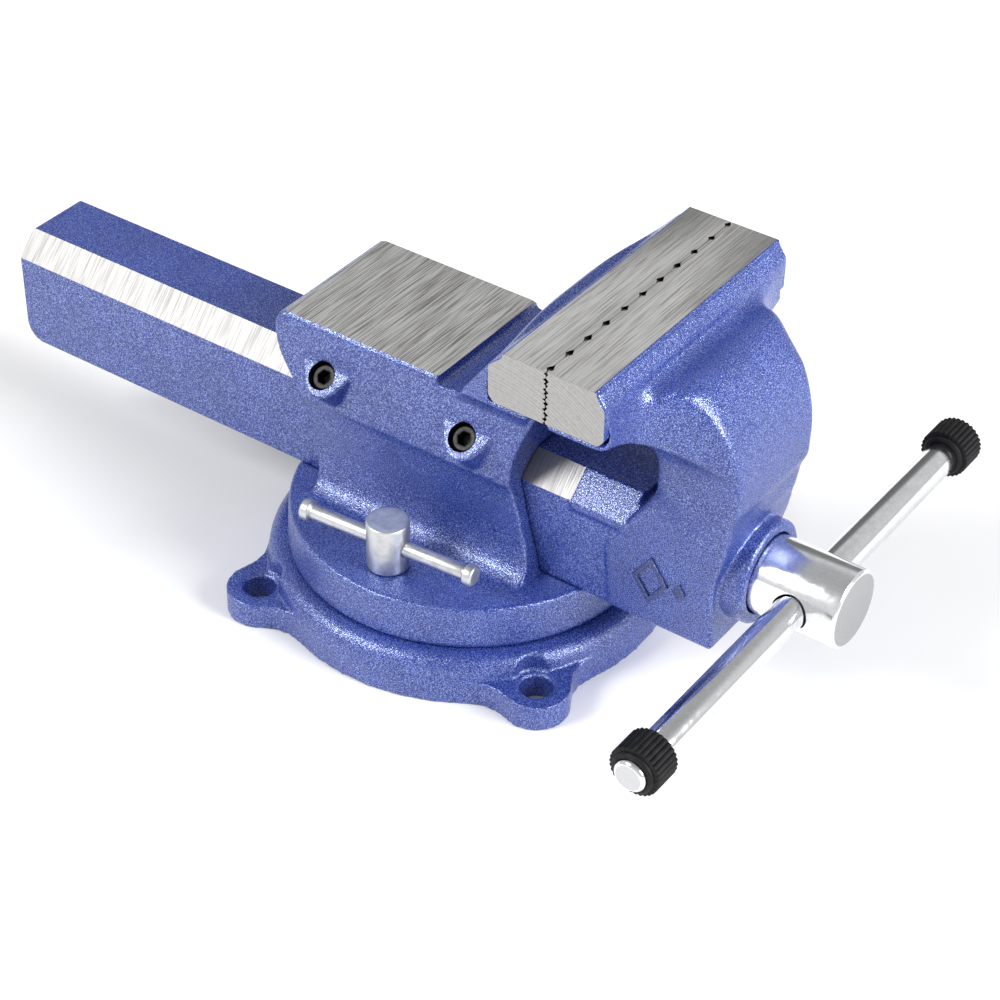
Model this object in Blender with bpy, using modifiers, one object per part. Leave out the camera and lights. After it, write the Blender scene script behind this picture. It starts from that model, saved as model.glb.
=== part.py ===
"""Six-inch engineer's bench vise on a swivel base.

Metres, +Z up. The origin is on the swivel axis at the bench face. +X runs along the lead
screw towards the handle, and -Y is the operator's left.
"""
from math import atan2, cos, pi, radians, sin, sqrt

import bmesh
import bpy
from mathutils import Matrix, Vector

# Driving dimensions ---------------------------------------------------------------------
GAP = 0.0003                    # clearance between touching pieces

JAW_WIDTH = 0.1524              # the nominal 6 in jaw
JAW_TOP = 0.205
JAW_SEAT = 0.177                # underside of the jaw blocks
JAW_FACE_X = 0.0938             # plane where the closed jaws meet
JAW_BLOCK_DEPTH = 0.0307
FIXED_BLOCK_COVE = 0.0072       # depth of the cove along each block's top back edge
MOVING_BLOCK_COVE = 0.0044
JAW_SCREW_RADIUS = 0.0035
JAW_SCREW_HEAD_RADIUS = 0.0065
JAW_SCREW_TOP = 0.1880
JAW_SCREW_Y = 0.032
FIXED_SCREW_X = 0.080
FIXED_SCREW_SEAT = 0.1655       # where the screw's head bears
MOVING_SCREW_X = 0.1085
MOVING_SCREW_SEAT = 0.1640

BASE_RADIUS = 0.1036
BASE_TOP_RADIUS = 0.094
BASE_HEIGHT = 0.0255
BASE_FLOOR = 0.007
LUG_CENTRE_RADIUS = 0.110
LUG_RADIUS = 0.017
LUG_HEIGHT = 0.0145
LUG_FILLET = 0.022
LUG_HOLE_RADIUS = 0.008
LUG_HOLE_CHAMFER = 0.0012
LUG_SEAT_RADIUS = 0.0115        # machined seat round each lug hole
LUG_SEAT_DEPTH = 0.0004
HUB_PAD_RADIUS = 0.046          # flat pads left under the base by its relief ring
RIM_PAD_RADIUS = 0.090
PAD_HEIGHT = 0.003
LUG_ANGLES = (52.5, 142.5, 232.5, 322.5)
PIVOT_RADIUS = 0.012
PIVOT_BOTTOM = 0.010
PIVOT_TOP = 0.038

TURNTABLE_RADIUS = 0.0929
TURNTABLE_BOTTOM = 0.02585
TURNTABLE_TOP = 0.0492
TURNTABLE_DRAFT = 0.0014
TRUNK_HALF_WIDTH = 0.0412
ANVIL_BACK = -0.0831
ANVIL_FRONT = 0.0089
ANVIL_TOP = 0.14655
ANVIL_EDGE = 0.0024             # width of the eased edge along the anvil's sides

CASTING_TOP = 0.1978            # top of the casting behind the fixed jaw block
RAMP_LEAN = 0.72                # slope of the ramp behind the fixed jaw, run over rise

BAR_HALF_WIDTH = 0.0298
BAR_BOTTOM = 0.0483
BAR_TOP = 0.11125
BAR_CHAMFER = 0.0123
BAR_BACK = -0.2747
BAR_FRONT = 0.112               # inside the front block
BAR_WALL = 0.0098
BAR_CLEARANCE = 0.0004          # between the bar and the tunnel it slides in
BAR_CORNER_RADIUS = 0.010       # rounding of the bar's rear bottom corner
MACHINED_CHAMFER_FRONT = 0.079

BLOCK_HALF_WIDTH = 0.031
BLOCK_FRONT = 0.1695
BLOCK_BORE_BACK = 0.098
BOSS_RADIUS = 0.0262
BOSS_BACK = 0.150
BOSS_FRONT = 0.1712

SCREW_HEIGHT = 0.0805
SCREW_RADIUS = 0.012
SCREW_BACK = -0.183
SCREW_HEAD_RADIUS = 0.01975
SCREW_HEAD_BACK = 0.1535
SCREW_HEAD_FRONT = 0.216
HEAD_CLEARANCE = 0.0008         # round the head in its bore, and round the handle in its hole
HANDLE_X = 0.193
HANDLE_RADIUS = 0.00825
HANDLE_LEFT = -0.1535
HANDLE_RIGHT = 0.1505
CAP_RADIUS = 0.0127
CAP_LENGTH = 0.020
CAP_PROUD = 0.0025              # handle end standing out of its cap
HANDLE_NECK_RADIUS = HANDLE_RADIUS - 0.0003

NUT_HALF_LENGTH = 0.030
NUT_HALF_WIDTH = 0.0165
NUT_TOP = 0.0955
NUT_BOLT_X = 0.0225
NUT_BOLT_RADIUS = 0.004
NUT_BOLT_HEAD_RADIUS = 0.0068
NUT_BOLT_SEAT = 0.0365
NUT_BOLT_TOP = 0.065
WASHER_RADIUS = 0.0192
WASHER_BACK = 0.1505
WASHER_FRONT = 0.1532
COLLAR_RADIUS = 0.0178
COLLAR_LENGTH = 0.0092
COLLAR_FRONT = BLOCK_BORE_BACK - GAP
COLLAR_PIN_RADIUS = 0.0025
COLLAR_PIN_X = COLLAR_FRONT - COLLAR_LENGTH / 2

LOCK_X = 0.001
LOCK_Y = 0.0697
LOCK_HEAD_RADIUS = 0.0107
LOCK_HEAD_TOP = 0.0765
LOCK_SHANK_RADIUS = 0.006
LOCK_BAR_HEIGHT = 0.063
LOCK_BAR_RADIUS = 0.00375
LOCK_BAR_HALF_LENGTH = 0.0495
LOCK_KNOB_RADIUS = 0.0055
LOCK_BAR_YAW = 4.0              # degrees at rest
LOCK_NUT_HALF_LENGTH = 0.013
LOCK_NUT_HALF_WIDTH = 0.0105
SLOT_INNER = 0.063
SLOT_OUTER = 0.0764
SLOT_CAVITY_INNER = 0.0585
SLOT_CAVITY_OUTER = 0.082
SLOT_LIP_BOTTOM = 0.0165
NUT_WINDOW_HALF_WIDTH = 0.015   # the slot's opening that lets the lock nuts in

SET_SCREW_XS = (-0.0575, 0.0265)
SET_SCREW_Y = 0.045             # centre of the hole on the tilted boss flat
SET_SCREW_Z = 0.122
SET_SCREW_RADIUS = 0.0069
SET_SCREW_DEPTH = 0.0233        # along its axis, from the boss flat to the gib
SET_SCREW_SUNK = 0.0025
GIB_Y = 0.025                   # middle of the gib's face on the bar's chamfer
GIB_Z = 0.10375
GIB_BACK = -0.068
GIB_FRONT = 0.042
GIB_THICKNESS = 0.003
GIB_HALF_WIDTH = 0.0058

ROUND_SEGMENTS = 36
MIDDLE_SEGMENTS = 24
SMALL_SEGMENTS = 16
OVERCUT = 0.01                  # how far cutters run past the faces they open


# Collections and materials --------------------------------------------------------------
def clear_scene():
    for obj in list(bpy.data.objects):
        bpy.data.objects.remove(obj, do_unlink=True)


def new_collection(name):
    collection = bpy.data.collections.new(name)
    bpy.context.scene.collection.children.link(collection)
    return collection


clear_scene()
PARTS = new_collection("bench_vise")
CUTTERS = new_collection("cutters")


def material(name, colour, roughness, metallic):
    made = bpy.data.materials.new(name)
    made.use_nodes = True
    shader = made.node_tree.nodes["Principled BSDF"]
    shader.inputs["Base Color"].default_value = (*colour, 1.0)
    shader.inputs["Roughness"].default_value = roughness
    shader.inputs["Metallic"].default_value = metallic
    made.diffuse_color = (*colour, 1.0)
    return made


# Outlines -------------------------------------------------------------------------------
def arc(centre, radius, start, end, steps):
    """Points on an arc from start to end degrees, both ends included."""
    points = []
    for step in range(steps + 1):
        angle = radians(start + (end - start) * step / steps)
        points.append((centre[0] + radius * cos(angle), centre[1] + radius * sin(angle)))
    return points


def smooth(points, per_span=4):
    """An open Catmull-Rom curve through the points."""
    padded = [points[0], *points, points[-1]]
    curve = []
    for before, start, end, after in zip(padded, padded[1:], padded[2:], padded[3:]):
        for step in range(per_span):
            t = step / per_span
            curve.append(tuple(0.5 * (2 * s + (e - b) * t + (2 * b - 5 * s + 4 * e - a) * t ** 2
                                      + (3 * s - b - 3 * e + a) * t ** 3)
                               for b, s, e, a in zip(before, start, end, after)))
    curve.append(points[-1])
    return curve


def mirrored(half):
    """A closed outline from the half at positive first coordinate, listed bottom to top."""
    return half + [(-across, up) for across, up in reversed(half) if across > 1e-6]


# Solids ---------------------------------------------------------------------------------
def cutter(obj):
    """Hide a construction solid: it only shapes its neighbours."""
    for collection in list(obj.users_collection):
        collection.objects.unlink(obj)
    CUTTERS.objects.link(obj)
    obj.hide_render = True
    obj.display_type = "WIRE"
    return obj


def mesh_object(name, bm, matrix=None):
    bmesh.ops.recalc_face_normals(bm, faces=bm.faces)
    mesh = bpy.data.meshes.new(name)
    bm.to_mesh(mesh)
    bm.free()
    obj = bpy.data.objects.new(name, mesh)
    CUTTERS.objects.link(obj)
    if matrix is not None:
        obj.matrix_world = matrix
    return cutter(obj)


# Each frame maps an outline's first and second coordinate, and its thickness, to X, Y, Z.
SIDE_VIEW = Matrix(((1, 0, 0, 0), (0, 0, -1, 0), (0, 1, 0, 0), (0, 0, 0, 1)))
FRONT_VIEW = Matrix(((0, 0, 1, 0), (1, 0, 0, 0), (0, 1, 0, 0), (0, 0, 0, 1)))
TOP_VIEW = Matrix.Identity(4)


def prism(name, outline, low, high, view=TOP_VIEW):
    """Extrude a closed outline from low to high along its view's third axis."""
    curve = bpy.data.curves.new(name, "CURVE")
    curve.dimensions = "2D"
    curve.fill_mode = "BOTH"
    curve.extrude = (high - low) / 2
    spline = curve.splines.new("POLY")
    spline.points.add(len(outline) - 1)
    for point, (first, second) in zip(spline.points, outline):
        point.co = (first, second, 0, 1)
    spline.use_cyclic_u = True
    guide = bpy.data.objects.new(name + "_outline", curve)
    CUTTERS.objects.link(guide)
    bpy.context.view_layer.update()
    evaluated = guide.evaluated_get(bpy.context.evaluated_depsgraph_get())
    mesh = bpy.data.meshes.new_from_object(evaluated)
    bm = bmesh.new()
    bm.from_mesh(mesh)
    bmesh.ops.remove_doubles(bm, verts=bm.verts, dist=1e-6)
    bmesh.ops.translate(bm, verts=bm.verts, vec=(0, 0, (low + high) / 2))
    bmesh.ops.transform(bm, matrix=view, verts=bm.verts)
    bpy.data.meshes.remove(mesh)
    bpy.data.objects.remove(guide, do_unlink=True)
    return mesh_object(name, bm)


def box(name, low, high):
    bm = bmesh.new()
    bmesh.ops.create_cube(bm, size=1.0)
    size = Vector(high) - Vector(low)
    middle = (Vector(high) + Vector(low)) / 2
    bmesh.ops.scale(bm, vec=size, verts=bm.verts)
    bmesh.ops.translate(bm, vec=middle, verts=bm.verts)
    return mesh_object(name, bm)


def turned(name, profile, segments=ROUND_SEGMENTS, matrix=None):
    """Turn a (radius, height) profile, listed from the top down the outer side, about Z."""
    closed = profile[0] == profile[-1]
    outline = profile[:-1] if closed else profile
    bm = bmesh.new()
    points = [bm.verts.new((radius, 0, height)) for radius, height in outline]
    for start, end in zip(points, points[1:]):
        bm.edges.new((start, end))
    if closed:
        bm.edges.new((points[-1], points[0]))
    mesh = bpy.data.meshes.new(name)
    bm.to_mesh(mesh)
    bm.free()
    obj = bpy.data.objects.new(name, mesh)
    CUTTERS.objects.link(obj)
    if matrix is not None:
        obj.matrix_world = matrix
    screw = obj.modifiers.new("turn", "SCREW")
    screw.steps = segments
    screw.render_steps = segments
    screw.use_merge_vertices = True
    screw.merge_threshold = 1e-5
    return cutter(obj)


def ring(radius_in, radius_out, low, high):
    """A closed profile of a plain ring, for turned()."""
    top = [(radius_in, high), (radius_out, high)]
    return top + [(radius_out, low), (radius_in, low), (radius_in, high)]


def rod_profile(radius, low, high, chamfer):
    """A solid rod's profile with chamfered ends, for turned()."""
    return [(0, high), (radius - chamfer, high), (radius, high - chamfer),
            (radius, low + chamfer), (radius - chamfer, low), (0, low)]


ALONG_X = Matrix.Rotation(pi / 2, 4, "Y")
ALONG_Y = Matrix.Rotation(-pi / 2, 4, "X")


def upright(x, y):
    """Maps a turned piece's axis to the vertical line at x, y."""
    return Matrix.Translation((x, y, 0))


def screw_axis():
    """Maps a turned piece's Z to +X on the lead screw's axis."""
    return Matrix.Translation((0, 0, SCREW_HEIGHT)) @ ALONG_X


def handle_axis():
    """Maps a turned piece's Z to +Y on the handle's axis."""
    return Matrix.Translation((HANDLE_X, 0, SCREW_HEIGHT)) @ ALONG_Y


def cylinder(name, radius, low, high, matrix=None, segments=SMALL_SEGMENTS, draft=0.0):
    """A cylinder, whose top end is smaller by its casting draft."""
    bm = bmesh.new()
    bmesh.ops.create_cone(bm, cap_ends=True, segments=segments, radius1=radius,
                          radius2=radius - draft, depth=high - low)
    bmesh.ops.translate(bm, verts=bm.verts, vec=(0, 0, (low + high) / 2))
    return mesh_object(name, bm, matrix)


def stepped_hole(name, wide, narrow, low, step, high, matrix, segments=SMALL_SEGMENTS):
    """A cutter for a hole that is wide from low to step and narrow from step to high."""
    profile = [(0, high), (narrow, high), (narrow, step), (wide, step), (wide, low), (0, low)]
    return turned(name, profile, segments, matrix)


def hexagon(name, across_flats, low, high, matrix):
    outline = arc((0, 0), across_flats / sqrt(3), 0, 300, 5)
    made = prism(name, outline, low, high)
    made.matrix_world = matrix
    return made


def combine(obj, other, operation):
    modifier = obj.modifiers.new(operation.lower(), "BOOLEAN")
    modifier.operation = operation
    modifier.object = other
    modifier.solver = "EXACT"
    return obj


def cut(obj, *others):
    for other in others:
        combine(obj, other, "DIFFERENCE")
    return obj


def join(obj, *others):
    for other in others:
        combine(obj, other, "UNION")
    return obj


def keep_common(obj, *others):
    for other in others:
        combine(obj, other, "INTERSECT")
    return obj


def bevel(obj, width, segments=1, angle=40):
    modifier = obj.modifiers.new("bevel", "BEVEL")
    modifier.width = width
    modifier.segments = segments
    modifier.limit_method = "ANGLE"
    modifier.angle_limit = radians(angle)
    return obj


def finish(obj, name, look, round_piece=False):
    """Make a construction solid a named part, with its own origin and material."""
    for collection in list(obj.users_collection):
        collection.objects.unlink(obj)
    PARTS.objects.link(obj)
    obj.name = name
    obj.hide_render = False
    obj.display_type = "TEXTURED"
    own = look.copy()
    own.name = name
    obj.data.materials.clear()
    obj.data.materials.append(own)
    if round_piece:
        obj.data.shade_smooth()
        obj.data.set_sharp_from_angle(angle=radians(35))
    return obj


# Looks ----------------------------------------------------------------------------------
BLUE_PAINT = material("blue_paint", (0.062, 0.085, 0.43), 0.42, 0.0)
STEEL = material("machined_steel", (0.50, 0.49, 0.47), 0.34, 1.0)
CHROME = material("chrome", (0.72, 0.73, 0.75), 0.14, 1.0)
ZINC = material("zinc_plate", (0.42, 0.43, 0.44), 0.38, 1.0)
BLACK_STEEL = material("black_steel", (0.02, 0.02, 0.022), 0.45, 1.0)
RUBBER = material("rubber", (0.012, 0.012, 0.013), 0.6, 0.0)
BRONZE = material("bronze", (0.40, 0.24, 0.09), 0.4, 1.0)


# Swivel base ----------------------------------------------------------------------------
def lug_outline():
    """The base's plan: a round plate with four lugs, blended by concave fillets."""
    to_fillet = BASE_RADIUS + LUG_FILLET
    from_lug = LUG_RADIUS + LUG_FILLET
    spread = (to_fillet ** 2 + LUG_CENTRE_RADIUS ** 2 - from_lug ** 2) / (2 * to_fillet * LUG_CENTRE_RADIUS)
    offset = atan2(sqrt(1 - spread ** 2), spread)
    fillet = Vector((to_fillet * cos(offset), to_fillet * sin(offset)))
    lug = Vector((LUG_CENTRE_RADIUS, 0))
    side = (fillet - lug).normalized()
    touch = atan2(side.y, side.x) * 180 / pi
    rim = offset * 180 / pi
    outline = []
    for angle in LUG_ANGLES:
        turn = radians(angle)
        low_fillet = (to_fillet * cos(turn - offset), to_fillet * sin(turn - offset))
        high_fillet = (to_fillet * cos(turn + offset), to_fillet * sin(turn + offset))
        centre = (LUG_CENTRE_RADIUS * cos(turn), LUG_CENTRE_RADIUS * sin(turn))
        outline += arc((0, 0), BASE_RADIUS, angle - 90 + rim, angle - rim, 6)[:-1]
        outline += arc(low_fillet, LUG_FILLET, angle - rim + 180, angle - touch + 180, 3)[:-1]
        outline += arc(centre, LUG_RADIUS, angle - touch, angle + touch, 8)[:-1]
        outline += arc(high_fillet, LUG_FILLET, angle + touch + 180, angle + rim + 180, 3)[:-1]
    return outline


def t_slot_profile():
    """Section of the ring slot: a narrow neck over a wide cavity for the lock nuts."""
    top = BASE_HEIGHT + OVERCUT
    return [(SLOT_INNER, top), (SLOT_OUTER, top), (SLOT_OUTER, SLOT_LIP_BOTTOM),
            (SLOT_CAVITY_OUTER, SLOT_LIP_BOTTOM), (SLOT_CAVITY_OUTER, BASE_FLOOR),
            (SLOT_CAVITY_INNER, BASE_FLOOR), (SLOT_CAVITY_INNER, SLOT_LIP_BOTTOM),
            (SLOT_INNER, SLOT_LIP_BOTTOM), (SLOT_INNER, top)]


def lug_hole(angle):
    """A bolt hole with a machined seat and a small chamfer."""
    turn = radians(angle)
    spot = upright(LUG_CENTRE_RADIUS * cos(turn), LUG_CENTRE_RADIUS * sin(turn))
    top = LUG_HEIGHT + OVERCUT
    seat = LUG_HEIGHT - LUG_SEAT_DEPTH
    rim = LUG_HOLE_RADIUS + LUG_HOLE_CHAMFER
    profile = [(0, top), (LUG_SEAT_RADIUS, top), (LUG_SEAT_RADIUS, seat), (rim, seat),
               (LUG_HOLE_RADIUS, seat - LUG_HOLE_CHAMFER), (LUG_HOLE_RADIUS, -OVERCUT), (0, -OVERCUT)]
    return turned("lug_hole", profile, SMALL_SEGMENTS, spot)


def build_base():
    plate = prism("lug_plate", lug_outline(), 0, LUG_HEIGHT)
    drum_radius = BASE_RADIUS - 0.0008
    drum = cylinder("base_drum", drum_radius, 0.002, BASE_HEIGHT, segments=96)
    bevel(drum, drum_radius - BASE_TOP_RADIUS, 7)
    join(plate, drum)
    relief = turned("base_relief", ring(HUB_PAD_RADIUS, RIM_PAD_RADIUS, -OVERCUT, PAD_HEIGHT),
                    MIDDLE_SEGMENTS)
    slot = turned("ring_slot", t_slot_profile())
    margin = 0.001
    window = box("nut_window", (SLOT_CAVITY_INNER + margin, -NUT_WINDOW_HALF_WIDTH, BASE_FLOOR + margin),
                 (SLOT_CAVITY_OUTER - margin, NUT_WINDOW_HALF_WIDTH, BASE_HEIGHT + OVERCUT))
    bore = cylinder("pivot_bore", PIVOT_RADIUS + GAP, PIVOT_BOTTOM - GAP, BASE_HEIGHT + OVERCUT,
                    segments=MIDDLE_SEGMENTS)
    cut(plate, relief, slot, window, bore)
    for angle in LUG_ANGLES:
        cut(plate, lug_hole(angle))
    return finish(plate, "base_plate", BLUE_PAINT)


def build_pivot():
    pin = turned("pivot", rod_profile(PIVOT_RADIUS, PIVOT_BOTTOM, PIVOT_TOP, 0.001),
                 MIDDLE_SEGMENTS)
    return finish(pin, "pivot_pin", STEEL, True)


# Slide bar section, shared by the bar and the tunnel it runs in --------------------------
def bar_section(grow=0.0):
    half = BAR_HALF_WIDTH + grow
    top = BAR_TOP + grow
    chamfer = BAR_CHAMFER + grow * (2 - sqrt(2))
    return mirrored([(half, BAR_BOTTOM - grow), (half, top - chamfer), (half - chamfer, top)])


def channel_section():
    half = BAR_HALF_WIDTH - BAR_WALL
    top = BAR_TOP - BAR_WALL
    return mirrored([(half, BAR_BOTTOM - 0.01), (half, top - 0.005), (half - 0.005, top)])


# Swivel body: turntable, trunk, anvil and fixed jaw ---------------------------------------
def set_screw_frame(x, side):
    """Maps Z to the outward axis of a set screw: 45 degrees up and out."""
    tilt = Matrix.Rotation(radians(-45) * side, 4, "X")
    return Matrix.Translation((x, side * SET_SCREW_Y, SET_SCREW_Z)) @ tilt


def gib_frame(side):
    """Maps Z to the outward normal of the bar's chamfer, from its middle."""
    tilt = Matrix.Rotation(radians(-45) * side, 4, "X")
    return Matrix.Translation((0, side * GIB_Y, GIB_Z)) @ tilt


def trunk_side_outline():
    front = smooth([(0.0635, 0.0460), (0.0615, 0.0580), (0.0572, 0.0730), (0.0526, 0.0928),
                    (0.0507, 0.1040), (0.0527, 0.1160), (0.0575, 0.1300), (0.0640, 0.1440)], 2)
    valley = smooth([(0.0420, 0.1600), (0.0335, 0.1530), (0.0240, 0.1458), (0.0150, 0.1423),
                     (ANVIL_FRONT + 0.0008, 0.1430)], 2)
    back = smooth([(-0.0890, 0.1400), (-0.0893, 0.1333), (-0.0870, 0.1220), (-0.0795, 0.1085),
                   (-0.0750, 0.0990), (-0.0722, 0.0870), (-0.0700, 0.0720), (-0.0660, 0.0600),
                   (-0.0648, 0.0460)], 2)
    anvil = [(ANVIL_FRONT, ANVIL_TOP), (ANVIL_BACK, ANVIL_TOP), (-0.0868, 0.1448)]
    return front + [(0.064, 0.160)] + valley + anvil + back


def trunk_front_outline():
    """Upright walls with eased top edges, spreading below into the turntable."""
    edge = TRUNK_HALF_WIDTH - ANVIL_EDGE
    return mirrored([(0.052, 0.0300), (0.052, 0.0525), (TRUNK_HALF_WIDTH, 0.0640),
                     (TRUNK_HALF_WIDTH, ANVIL_TOP - 0.0020), (TRUNK_HALF_WIDTH - 0.001, ANVIL_TOP - 0.0006),
                     (edge, ANVIL_TOP + 0.0001), (edge, 0.1700)])


def fixed_jaw_side_outline():
    seat_back = JAW_FACE_X - JAW_BLOCK_DEPTH - GAP
    seat = JAW_SEAT - GAP
    ramp = smooth([(0.0080, 0.1400), (0.0150, 0.1425), (0.0240, 0.1460), (0.0335, 0.1535),
                   (0.0420, 0.1640), (0.0490, 0.1770), (0.0535, 0.1890), (0.0560, 0.1950),
                   (0.0590, CASTING_TOP)], 4)
    under = smooth([(0.0934, seat), (0.0925, 0.1725), (0.0880, 0.1655), (0.0800, 0.1565),
                    (0.0720, 0.1480), (0.0650, 0.1390), (0.0590, 0.1300)], 4)
    return ramp + [(seat_back, CASTING_TOP), (seat_back, seat)] + under + [(0.050, 0.124), (0.008, 0.124)]


def jaw_flare_front_outline(root):
    """Front view of a jaw: its root's (half-width, height) points, then its full width."""
    half = JAW_WIDTH / 2
    flare = smooth(root + [(half, JAW_SEAT - 0.0025)], 4)
    return mirrored(flare + [(half, JAW_TOP + 0.005)])


def crown_outline():
    """Plan of the fixed jaw at its top: a back edge bowed between the jaw's ends."""
    half = JAW_WIDTH / 2
    bow = [(0.0640, half), (0.0626, 0.055), (0.0592, 0.030)]
    back = smooth(bow + [(0.0578, 0.0)] + [(along, -across) for along, across in reversed(bow)], 4)
    return back + [(0.100, -half), (0.100, half)]


def build_fixed_jaw():
    inside = TRUNK_HALF_WIDTH - 0.0008
    root = [(inside, 0.1000), (inside, 0.1330), (0.0433, 0.1445), (0.0500, 0.1530), (0.0605, 0.1647)]
    jaw = prism("fixed_jaw", fixed_jaw_side_outline(), -JAW_WIDTH, JAW_WIDTH, SIDE_VIEW)
    flare = prism("fixed_flare", jaw_flare_front_outline(root), 0, 0.11, FRONT_VIEW)
    crown = prism("crown", crown_outline(), 0.10, 0.21)
    lean = Matrix.Identity(4)
    lean[0][2] = RAMP_LEAN
    lean[0][3] = -RAMP_LEAN * CASTING_TOP
    crown.data.transform(lean)
    return keep_common(jaw, flare, crown)


def waist_cutter(side):
    """Hollows the trunk's side below its crease and fillets it out to the turntable."""
    outer = 0.075
    crease = 0.1015
    floor = TURNTABLE_TOP - 0.0010
    hollow = smooth([(0.0420, crease), (0.0402, 0.0985), (0.0388, 0.0920), (0.0380, 0.0800),
                     (0.0384, 0.0680), (0.0400, 0.0590), (0.0440, 0.0522), (0.0512, floor)], 2)
    outline = [(outer, crease)] + hollow + [(outer, floor)]
    outline = [(side * across, up) for across, up in outline]
    return prism("waist", outline, -0.12, 0.12, FRONT_VIEW)


def boss(x, side):
    """A tilted flat for a set screw: straight along its top edge and round below."""
    low = arc((0.0010, -0.0005), 0.0108, 205, 335, 5)
    left = [(-0.0165, 0.0120), (-0.0165, 0.0062), (-0.0135, 0.0028)]
    right = [(0.0150, 0.0032), (0.0165, 0.0062), (0.0165, 0.0120)]
    outline = [(across, -up * side) for across, up in left + low + right]
    made = prism("boss", outline, -0.016, 0.0)
    made.matrix_world = set_screw_frame(x, side)
    return made


def gib_pocket(side):
    """The slot behind a gib strip."""
    low = (GIB_BACK - GAP, -GIB_HALF_WIDTH - GAP, -0.002)
    high = (GIB_FRONT + GAP, GIB_HALF_WIDTH + GAP, GIB_THICKNESS + 2 * GAP)
    pocket = box("gib_pocket", low, high)
    pocket.matrix_world = gib_frame(side)
    return pocket


def build_swivel_body():
    trunk = prism("trunk", trunk_side_outline(), -0.05, 0.05, SIDE_VIEW)
    keep_common(trunk, prism("walls", trunk_front_outline(), -0.12, 0.12, FRONT_VIEW))
    cut(trunk, waist_cutter(1), waist_cutter(-1))
    table = cylinder("turntable", TURNTABLE_RADIUS, TURNTABLE_BOTTOM, TURNTABLE_TOP,
                     segments=96, draft=TURNTABLE_DRAFT)
    bevel(table, 0.002, 3)
    join(trunk, build_fixed_jaw(), table)
    for side in (-1, 1):
        for x in SET_SCREW_XS:
            join(trunk, boss(x, side))
    cut(trunk, prism("tunnel", bar_section(BAR_CLEARANCE), -0.13, 0.13, FRONT_VIEW))
    for side in (-1, 1):
        cut(trunk, gib_pocket(side))
        for x in SET_SCREW_XS:
            cut(trunk, cylinder("set_screw_hole", SET_SCREW_RADIUS + GAP, -0.026, 0.01,
                                set_screw_frame(x, side)))
        cut(trunk, cylinder("lock_hole", LOCK_SHANK_RADIUS + 0.0004, TURNTABLE_BOTTOM - OVERCUT,
                            TURNTABLE_TOP + OVERCUT, upright(LOCK_X, side * LOCK_Y)))
        cut(trunk, jaw_screw_hole(FIXED_SCREW_X, side * JAW_SCREW_Y, FIXED_SCREW_SEAT))
    for x in (-NUT_BOLT_X, NUT_BOLT_X):
        cut(trunk, stepped_hole("nut_bolt_hole", NUT_BOLT_HEAD_RADIUS + GAP, NUT_BOLT_RADIUS + GAP,
                                TURNTABLE_BOTTOM - OVERCUT, NUT_BOLT_SEAT, NUT_TOP, upright(x, 0)))
    cut(trunk, cylinder("pivot_socket", PIVOT_RADIUS + GAP, TURNTABLE_BOTTOM - OVERCUT,
                        PIVOT_TOP + GAP, segments=MIDDLE_SEGMENTS))
    return finish(trunk, "swivel_body", BLUE_PAINT)


# Jaw blocks -----------------------------------------------------------------------------
def jaw_block_outline(direction, cove):
    """End outline of a jaw block: its back lies along direction and is coved below its top edge."""
    depth = JAW_BLOCK_DEPTH
    points = [(GAP / 2, JAW_SEAT), (depth - 0.0035, JAW_SEAT), (depth - 0.0010, JAW_SEAT + 0.0012),
              (depth, JAW_SEAT + 0.0040), (depth, 0.1950), (depth - 0.12 * cove, 0.1970),
              (depth - 0.75 * cove, 0.2010), (depth - cove, 0.2030), (depth - cove, JAW_TOP),
              (GAP / 2, JAW_TOP)]
    return [(JAW_FACE_X + direction * across, up) for across, up in points]


def build_jaw_block(name, direction, screw_x, cove):
    half = JAW_WIDTH / 2
    block = prism(name, jaw_block_outline(direction, cove), -half, half, SIDE_VIEW)
    for side in (-1, 1):
        cut(block, cylinder("block_hole", JAW_SCREW_RADIUS + GAP, JAW_SEAT - OVERCUT,
                            JAW_SCREW_TOP + GAP, upright(screw_x, side * JAW_SCREW_Y)))
    return finish(block, name, STEEL)


def jaw_screw_hole(x, y, seat):
    """From beneath a jaw: room for the head, then for the shank up into the block."""
    return stepped_hole("jaw_screw_hole", JAW_SCREW_HEAD_RADIUS + GAP, JAW_SCREW_RADIUS + GAP,
                        0.130, seat, JAW_SEAT + OVERCUT, upright(x, y))


def build_cap_screw(name, x, y, radius, head_radius, seat, top):
    """A socket cap screw, head down: seat is the height where its head bears."""
    spot = upright(x, y)
    head = seat - 2 * radius
    chamfer = 0.0006
    profile = [(0, top), (radius - chamfer, top), (radius, top - chamfer), (radius, seat),
               (head_radius, seat), (head_radius, head + chamfer), (head_radius - chamfer, head),
               (0, head)]
    screw = turned(name, profile, 12, spot)
    cut(screw, hexagon("socket", 1.55 * radius, head - OVERCUT, head + radius, spot))
    return finish(screw, name, BLACK_STEEL, True)


# Moving jaw: slide bar, front block and arm ------------------------------------------------
def front_block_outline():
    back = smooth([(0.1025, 0.0478), (0.1009, 0.0630), (0.0990, 0.0823), (0.1047, 0.0919),
                   (0.1126, 0.1047), (0.1190, 0.1151), (0.1234, 0.1237), (0.1248, 0.1330),
                   (0.1248, 0.1404)], 4)
    front = smooth([(0.1660, 0.1245), (0.1645, 0.1120), (0.1620, 0.0980), (0.1592, 0.0860), (0.1585, 0.0720),
                    (0.1595, 0.0600), (0.1603, 0.0478)], 4)
    return back + [(0.1248, 0.1450), (0.1650, 0.1450)] + front


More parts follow.
